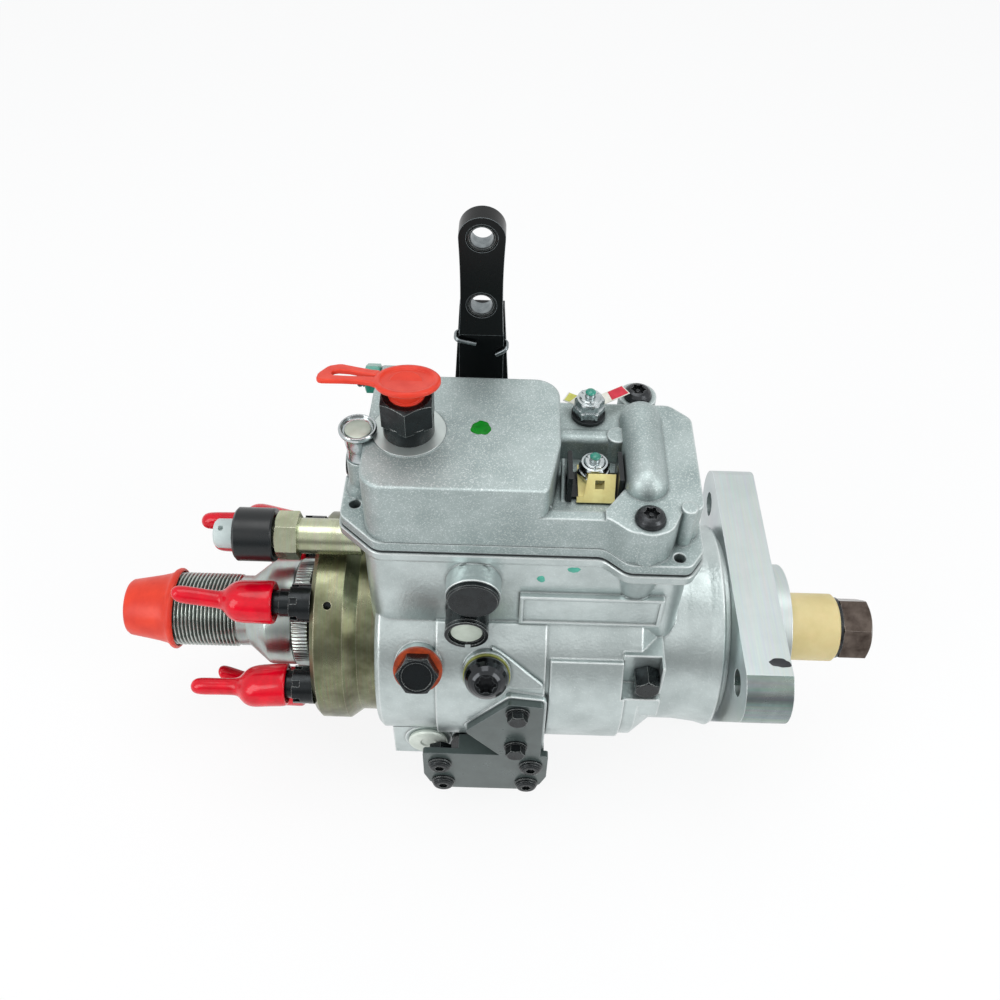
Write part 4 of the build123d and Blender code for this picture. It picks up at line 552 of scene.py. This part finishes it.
def nutRadius(distance, radius, angle):
    if distance < terminals["wideTop"]:
        return hexRadius(terminals["wide"], radius, angle)
    if terminals["narrowFrom"] < distance < terminals["crownFrom"]:
        return hexRadius(terminals["narrow"], radius, angle)
    # the crown is slit and squeezed to grip the thread
    if distance > terminals["crownFrom"] and radius > 3.0:
        away = (angle * terminals["slits"] / (2 * math.pi) + 0.25) % 1.0
        return radius - terminals["slitDepth"] * max(0.0, 1 - abs(away - 0.5) / terminals["slitWidth"])
    return radius


for i, (place, foot) in enumerate(zip(terminals["places"], terminals["feet"])):
    nut = makePiece("lockNut%d" % (i + 1), turned([
        (foot, terminals["bore"]), (foot, 5.7), (foot + 0.35, 6.36), (4.95, 6.36), (5.4, 5.6),
        (5.42, 5.2), (5.46, 5.6), (5.5, 5.9), (5.9, 5.9), (5.95, 5.5), (6.0, 5.2), (6.02, 5.5),
        (6.3, 6.02), (8.9, 6.02), (9.5, 5.1), (9.58, 4.6), (9.6, 4.3), (10.1, 4.1), (10.45, 3.6),
        (10.5, 3.1), (10.5, terminals["bore"])],
        place, (0, 0, 1), 120, nutRadius), "brightZinc", "pump", 28)
    if i == 0:
        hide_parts("terminal_nuts")
    makePiece("lacquer%d" % (i + 1), turned([
        (12.3, 0), (12.3, 2.05), (12.7, 2.12), (13.1, 1.75), (13.45, 1.1), (13.55, 0)],
        place, (0, 0, 1), 24), "tealLacquer", "pump", 50)
print("terminals made")

# two-eared tag under the upper terminal's narrow nut, its ends plain blocks of ink
tag = dict(height=112.93, thick=0.45, width=5.4, foot=5.0, inkThick=0.06, margin=0.3, ears=(
    dict(name="Right", turn=33, reach=18.2, inkFrom=0.52, ink="tagRed"),
    dict(name="Left", turn=153, reach=10.4, inkFrom=0.62, ink="tagYellow")))
x, y, z = terminals["places"][0]
half = tag["width"] / 2
inkHalf = half - tag["margin"]
for ear in tag["ears"]:
    turn = math.radians(ear["turn"])
    along, across = (math.cos(turn), math.sin(turn), 0), (-math.sin(turn), math.cos(turn), 0)
    plate("tag" + ear["name"],
          [(tag["foot"], -half), (ear["reach"], -half), (ear["reach"], half), (tag["foot"], half)],
          (x, y, tag["height"]), along, across, tag["thick"], "paperTag", bevel=0.12)
    inkFrom, inkTo = ear["reach"] * ear["inkFrom"], ear["reach"] - 0.5
    plate("tagInk" + ear["name"],
          [(inkFrom, -inkHalf), (inkTo, -inkHalf), (inkTo, inkHalf), (inkFrom + 1.2, inkHalf)],
          (x, y, tag["height"] + tag["thick"]), along, across, tag["inkThick"], ear["ink"])
print("tag made")

# idle stop: a cast lug behind the cover, a set screw through it and its lacquered lock nut
idleStop = dict(y=47.0, z=104.0, left=-180.5, right=-156.0, lug=(-170.4, -162.5), wall=30.8, footTop=9.0,
                footBottom=-14.0, round=5.6, nutFlats=11.4, screw=3.9, pitch=1.25, steep=2.4, root=0.1,
                threadDepth=0.55, threadSpan=(1.0, 23.5))
lugOutline = [(idleStop["wall"], idleStop["footTop"])]
for k in range(12):
    turn = math.radians(90 - 15 * k)
    lugOutline.append((idleStop["y"] + idleStop["round"] * math.cos(turn),
                       idleStop["round"] * math.sin(turn)))
lugOutline += [(idleStop["y"], -idleStop["round"]), (idleStop["wall"], idleStop["footBottom"])]
plate("stopLug", lugOutline, (idleStop["lug"][0], 0, idleStop["z"]), (0, 1, 0), (0, 0, 1),
      idleStop["lug"][1] - idleStop["lug"][0], "castCover", bevel=1.0)


def stopThread(distance, radius, angle):
    first, last = idleStop["threadSpan"]
    if radius < idleStop["screw"] or not first < distance < last:
        return radius
    wave = (distance / idleStop["pitch"] + angle / (2 * math.pi)) % 1.0
    return radius - idleStop["threadDepth"] * ridge(wave, idleStop["steep"], idleStop["root"])


length = idleStop["right"] - idleStop["left"]
screwProfile = [(1.6, 0), (1.6, 1.7), (0.0, 1.9), (0.0, 3.3), (0.7, idleStop["screw"])]
screwProfile += [(0.8 + (length - 1.8) * k / 150, idleStop["screw"]) for k in range(151)]
screwProfile += [(length - 0.7, 3.2), (length, 2.2), (length, 0)]
stopStart = (idleStop["left"], idleStop["y"], idleStop["z"])
makePiece("stopScrew", turned(screwProfile, stopStart, (1, 0, 0), 48, stopThread), "blackPhosphate", "pump",
          50)
makePiece("stopNut", turned([
    (3.6, 3.95), (3.6, 5.4), (4.1, 6.6), (9.4, 6.6), (10.0, 5.4), (10.0, 3.95)], stopStart, (1, 0, 0), 120,
    lambda distance, radius, angle: hexRadius(idleStop["nutFlats"], radius, angle)),
    "tealLacquer", "pump", 28)
print("idle stop made")

# bright disc in the pivot plug
makePiece("pivotDisc", turned([
    (0.0, 0), (0.0, 6.6), (0.5, 6.7), (0.9, 6.3), (0.8, 5.6), (0.9, 0)],
    (-131.0, -41.5, 48.6), (0, -1, 0), 64), "sealFace", "pump", 40)

# cast web from the dome plug's boss to the bracket's lug; outline points are (X, degrees round the barrel)
web = dict(foot=52.0, top=54.7, outline=((-121, 42.3), (-117, 40), (-112, 36), (-105.4, 30.2), (-98.9, 24.6),
                                         (-98.6, 21.8), (-106, 21.6), (-112.5, 21.6), (-116, 25), (-119, 32)))


def castWeb():
    shape = bmesh.new()
    rings = []
    for radius in (web["foot"], web["top"]):
        rings.append([shape.verts.new(Vector((x, -radius * math.cos(math.radians(turn)),
                                              radius * math.sin(math.radians(turn)))) * mm)
                      for x, turn in web["outline"]])
    joinRings(shape, rings[0], rings[1])
    shape.faces.new(rings[0])
    shape.faces.new(rings[1])
    piece = makePiece("castWeb", closeMesh(shape, "castWeb"), "castHousing", "pump", 40)
    roundEdges(piece, 0.7, 3)


castWeb()
print("web made")

# lever bushes: turned rings, the ends just below the bar's faces, worn bright inside
bushes = dict(x=-128.5, front=43.0, middle=47.0, heights=(176.2, 146.3), bore=4.15, outer=5.85,
              wornRadius=5.2)
for i, height in enumerate(bushes["heights"]):
    bush = makePiece("leverBush%d" % (i + 1), turned([
        (0.75, bushes["bore"] + 0.15), (0.35, bushes["bore"] + 0.55), (0.3, 5.0), (0.75, 5.15),
        (0.75, 5.35), (0.35, 5.5), (0.5, bushes["outer"]), (7.5, bushes["outer"]), (7.65, 5.4),
        (7.65, bushes["bore"] + 0.5), (7.2, bushes["bore"])],
        (bushes["x"], bushes["front"], height), (0, 1, 0), 64),
        "blackPhosphate", "throttle", 30)
    bush.data.materials.append(made["springWire"])
    heart = Vector((bushes["x"], bushes["middle"], height)) * mm
    for face in bush.data.polygons:
        if (face.center - heart).length < bushes["wornRadius"] * mm and abs(face.normal.y) < 0.5:
            face.material_index = 1
    if i == 0:
        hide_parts("lever_bushes")
print("bushes made")

# return plug: neck, thin dish and pull loop
plug = dict(x=-154.2, y=-0.5, socket=129.2, tilt=15.0, dish=(-153.7, -0.7, 143.0))
plugUp = (0, math.sin(math.radians(plug["tilt"])), math.cos(math.radians(plug["tilt"])))
plugBack = (0, plugUp[2], -plugUp[1])
dish = makePiece("returnDish", turned([
    (0.2, 0), (0.2, 10.6), (0.5, 11.7), (1.2, 12.15), (2.2, 12.1), (2.6, 11.7), (2.65, 10.6), (2.4, 9.9),
    (1.75, 9.5), (1.6, 8.8), (1.6, 0)],
    plug["dish"], plugUp, 96), "redPolythene", "return_cap", 45)
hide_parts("return_cap")
makePiece("returnNeck", turned([
    (0, 0), (0, 5.7), (0.5, 6.2), (8.2, 6.2), (8.5, 6.75), (9.7, 6.75), (10.0, 6.1), (15.2, 6.0), (15.2, 0)],
    (plug["x"], plug["y"], plug["socket"]), (0, 0, 1), 64), "redPolythene", "return_cap", 40)
loopOuter = [
    (-10.5, -4.8), (-13.2, -2.9), (-17, -2.0), (-23, -1.8), (-30.6, -2.0), (-32.0, -1.5),
    (-32.7, -0.2), (-32.7, 2.6), (-32.2, 4.2), (-30.2, 8.6), (-29.2, 9.8), (-26.2, 11.2),
    (-24.8, 11.3), (-19, 9.2), (-13.5, 7.3), (-10.5, 6.9)]
loopInner = [
    (-10.5, 2.8), (-13.0, 3.1), (-17, 4.4), (-21.5, 5.9), (-25.5, 6.3), (-27.0, 5.7), (-27.8, 4.5),
    (-27.8, 3.0), (-26.8, 2.0), (-23, 1.8), (-17, 1.7), (-13.0, 1.6), (-10.5, 1.8)]
plate("pullLoop", loopOuter + loopInner, Vector(plug["dish"]) + Vector(plugUp) * 0.5, (1, 0, 0), plugBack,
      1.9, "redPolythene", "return_cap", 0.45)
print("return plug made")

# seal cup: rolled rim round a pale disc
cup = dict(place=(-173.2, -2.4, 108.0))
rim = makePiece("sealCup", turned([
    (-1.0, 0), (-1.0, 1.9), (0.05, 1.95), (0.05, 5.15), (5.0, 5.0), (5.6, 5.2), (8.0, 5.5), (11.4, 5.7),
    (12.2, 6.0), (12.9, 6.9), (13.7, 7.3), (14.7, 7.3), (15.25, 6.9), (15.25, 6.4), (14.7, 6.05), (14.1, 5.9),
    (13.8, 5.5), (13.8, 0)],
    cup["place"], (0, 0, 1), 72), "brightZinc", "pump", 40)
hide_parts("seal_cup")
makePiece("sealDisc", turned([
    (13.7, 0), (13.7, 4.9), (14.1, 5.0), (14.35, 4.6), (14.4, 0)],
    cup["place"], (0, 0, 1), 48), "sealFace", "pump", 40)
print("seal cup made")


# paint dabs: thin uneven films
def dab(name, middle, across, away, size, finish, slot, seed, thick=0.12, steps=40):
    # across and away are unit vectors in the surface, size their half lengths in millimetres
    draw = random.Random(seed)
    phases = [draw.uniform(0, 6.28) for _ in range(3)]
    out = Vector(across).cross(Vector(away)).normalized()
    shape = bmesh.new()
    top, foot = [], []
    for k in range(steps):
        angle = 2 * math.pi * k / steps
        r = 1 + sum(part * math.sin(count * angle + phase)
                    for part, count, phase in zip((0.10, 0.07, 0.04), (2, 3, 7), phases))
        flat = (Vector(across) * (math.cos(angle) * size[0] * r)
                + Vector(away) * (math.sin(angle) * size[1] * r))
        foot.append(shape.verts.new((Vector(middle) + flat) * mm))
        top.append(shape.verts.new((Vector(middle) + flat * 0.9 + out * thick) * mm))
    joinRings(shape, foot, top)
    shape.faces.new(top)
    shape.faces.new(foot)
    makePiece(name, closeMesh(shape, name), finish, "pump", 60)


dabs = dict(
    greenDab=dict(middle=(-127.1, 2.2, 120.0), across=(1, 0, 0), away=(0, 1, 0), size=(3.5, 4.2),
                  finish="greenPaint", slot="cast_cover", seed=3),
    tealDabLeft=dict(middle=(-102.0, -31.0, 70.6), across=(1, 0, 0), away=(0, 0, 1), size=(1.7, 1.9),
                     finish="palePaint", slot="cast_housing", seed=5),
    tealDabRight=dict(middle=(-89.5, -31.0, 77.0), across=(1, 0, 0), away=(0, 0, 1), size=(2.3, 1.8),
                      finish="palePaint", slot="cast_housing", seed=8),
    inkDab=dict(middle=(-4.6, -49.0, 43.58), across=(1, 0, 0), away=(0, 1, 0), size=(4.2, 2.2),
                finish="markerInk", slot="cast_housing", seed=11))
for name, film in dabs.items():
    dab(name, **film)
print("dabs made")

# studio: white paper floor, an even white surround that is dim on its open side, three softboxes
studio = dict(floor=-78.0, size=6.0, paper="#F4F4F4", glow=0.85, fill=0.64, fillColour="#F2F6FA",
              dark=0.72, darkFront=(-0.35, -0.8), darkLow=(0.55, 0.25), middle=(-0.12, 0.0, 0.03))
softboxes = dict(
    softboxTop=dict(place=(-0.2, 0.12, 1.1), size=(0.9, 0.6), power=4.0),
    softboxLeft=dict(place=(-1.0, -0.7, 0.55), size=(0.5, 0.9), power=5.0),
    softboxRight=dict(place=(0.8, -0.5, 0.6), size=(0.4, 0.9), power=4.5))


def seesBackdrop(tree):
    # 1 for rays that see the backdrop itself: the camera's, mirrored and refracted ones
    path = addNode(tree, "LightPath").outputs
    both = addNode(tree, "Math", {0: path["Is Camera Ray"], 1: path["Is Glossy Ray"]}, operation="MAXIMUM")
    return addNode(tree, "Math", {0: both.outputs[0], 1: path["Is Transmission Ray"]},
                   operation="MAXIMUM").outputs[0]


def makeFloor():
    half = studio["size"] / 2
    shape = bmesh.new()
    shape.faces.new([shape.verts.new((x * half, y * half, studio["floor"] * mm))
                     for x, y in ((-1, -1), (1, -1), (1, 1), (-1, 1))])
    mesh = bpy.data.meshes.new("floor")
    shape.to_mesh(mesh)
    shape.free()
    floor = bpy.data.objects.new("floor", mesh)
    bpy.context.scene.collection.objects.link(floor)
    material = bpy.data.materials.new("matPaper")     # seamless paper: white, keeps a faint shadow
    material.use_nodes = True
    tree = material.node_tree
    tree.nodes.clear()
    paper = addNode(tree, "BsdfDiffuse", {"Color": linear(studio["paper"])})
    glow = addNode(tree, "Emission", {"Color": (1, 1, 1, 1), "Strength": 1.0})
    share = addNode(tree, "Math", {0: seesBackdrop(tree), 1: studio["glow"]}, operation="MULTIPLY")
    both = addNode(tree, "MixShader", {0: share.outputs[0], 1: paper.outputs[0], 2: glow.outputs[0]})
    addNode(tree, "OutputMaterial", {"Surface": both.outputs[0]})
    mesh.materials.append(material)


def makeWorld():
    world = bpy.data.worlds.new("studioWorld")
    bpy.context.scene.world = world
    world.use_nodes = True
    tree = world.node_tree
    tree.nodes.clear()
    # the open side is dim: polished metal shows it as a soft dark band low in front
    toward = addNode(tree, "SeparateXYZ", {0: addNode(tree, "TexCoord").outputs["Generated"]}).outputs
    front = addNode(tree, "MapRange", {0: toward[1], 1: studio["darkFront"][0], 2: studio["darkFront"][1]})
    low = addNode(tree, "MapRange", {0: toward[2], 1: studio["darkLow"][0], 2: studio["darkLow"][1]})
    dim = addNode(tree, "Math", {0: front.outputs[0], 1: low.outputs[0]}, operation="MULTIPLY")
    glossy = addNode(tree, "LightPath").outputs["Is Glossy Ray"]
    mirrored = addNode(tree, "Math", {0: dim.outputs[0], 1: glossy}, operation="MULTIPLY")
    level = addNode(tree, "Math", {0: mirrored.outputs[0], 1: -studio["dark"], 2: 1.0},
                    operation="MULTIPLY_ADD")
    seen = addNode(tree, "Background", {"Color": (1, 1, 1, 1), "Strength": level.outputs[0]})
    fill = addNode(tree, "Background", {"Color": linear(studio["fillColour"]), "Strength": studio["fill"]})
    both = addNode(tree, "MixShader", {0: seesBackdrop(tree), 1: fill.outputs[0], 2: seen.outputs[0]})
    addNode(tree, "OutputWorld", {"Surface": both.outputs[0]})


def softbox(name, place, size, power):
    lamp = bpy.data.lights.new(name, "AREA")
    lamp.shape = "RECTANGLE"
    lamp.size, lamp.size_y = size
    lamp.energy = power
    thing = bpy.data.objects.new(name, lamp)
    thing.location = place
    thing.rotation_mode = "QUATERNION"
    thing.rotation_quaternion = (Vector(studio["middle"]) - Vector(place)).to_track_quat("-Z", "Y")
    bpy.context.scene.collection.objects.link(thing)


makeFloor()
makeWorld()
for name, box in softboxes.items():
    softbox(name, **box)

# camera
camera = dict(place=(-0.1191, -0.2717, 0.3837), down=48.0, roll=1.7, lens=36.0, sensor=36.0)
lensData = bpy.data.cameras.new("camera")
lensData.lens = camera["lens"]
lensData.sensor_width = camera["sensor"]
lensData.clip_start = 0.01
viewpoint = bpy.data.objects.new("camera", lensData)
viewpoint.matrix_world = (Matrix.Translation(camera["place"])
                          @ Matrix.Rotation(math.radians(90 - camera["down"]), 4, "X")
                          @ Matrix.Rotation(math.radians(camera["roll"]), 4, "Z"))
bpy.context.scene.collection.objects.link(viewpoint)
bpy.context.scene.camera = viewpoint
bpy.context.scene.view_settings.view_transform = "Standard"
print("studio made")
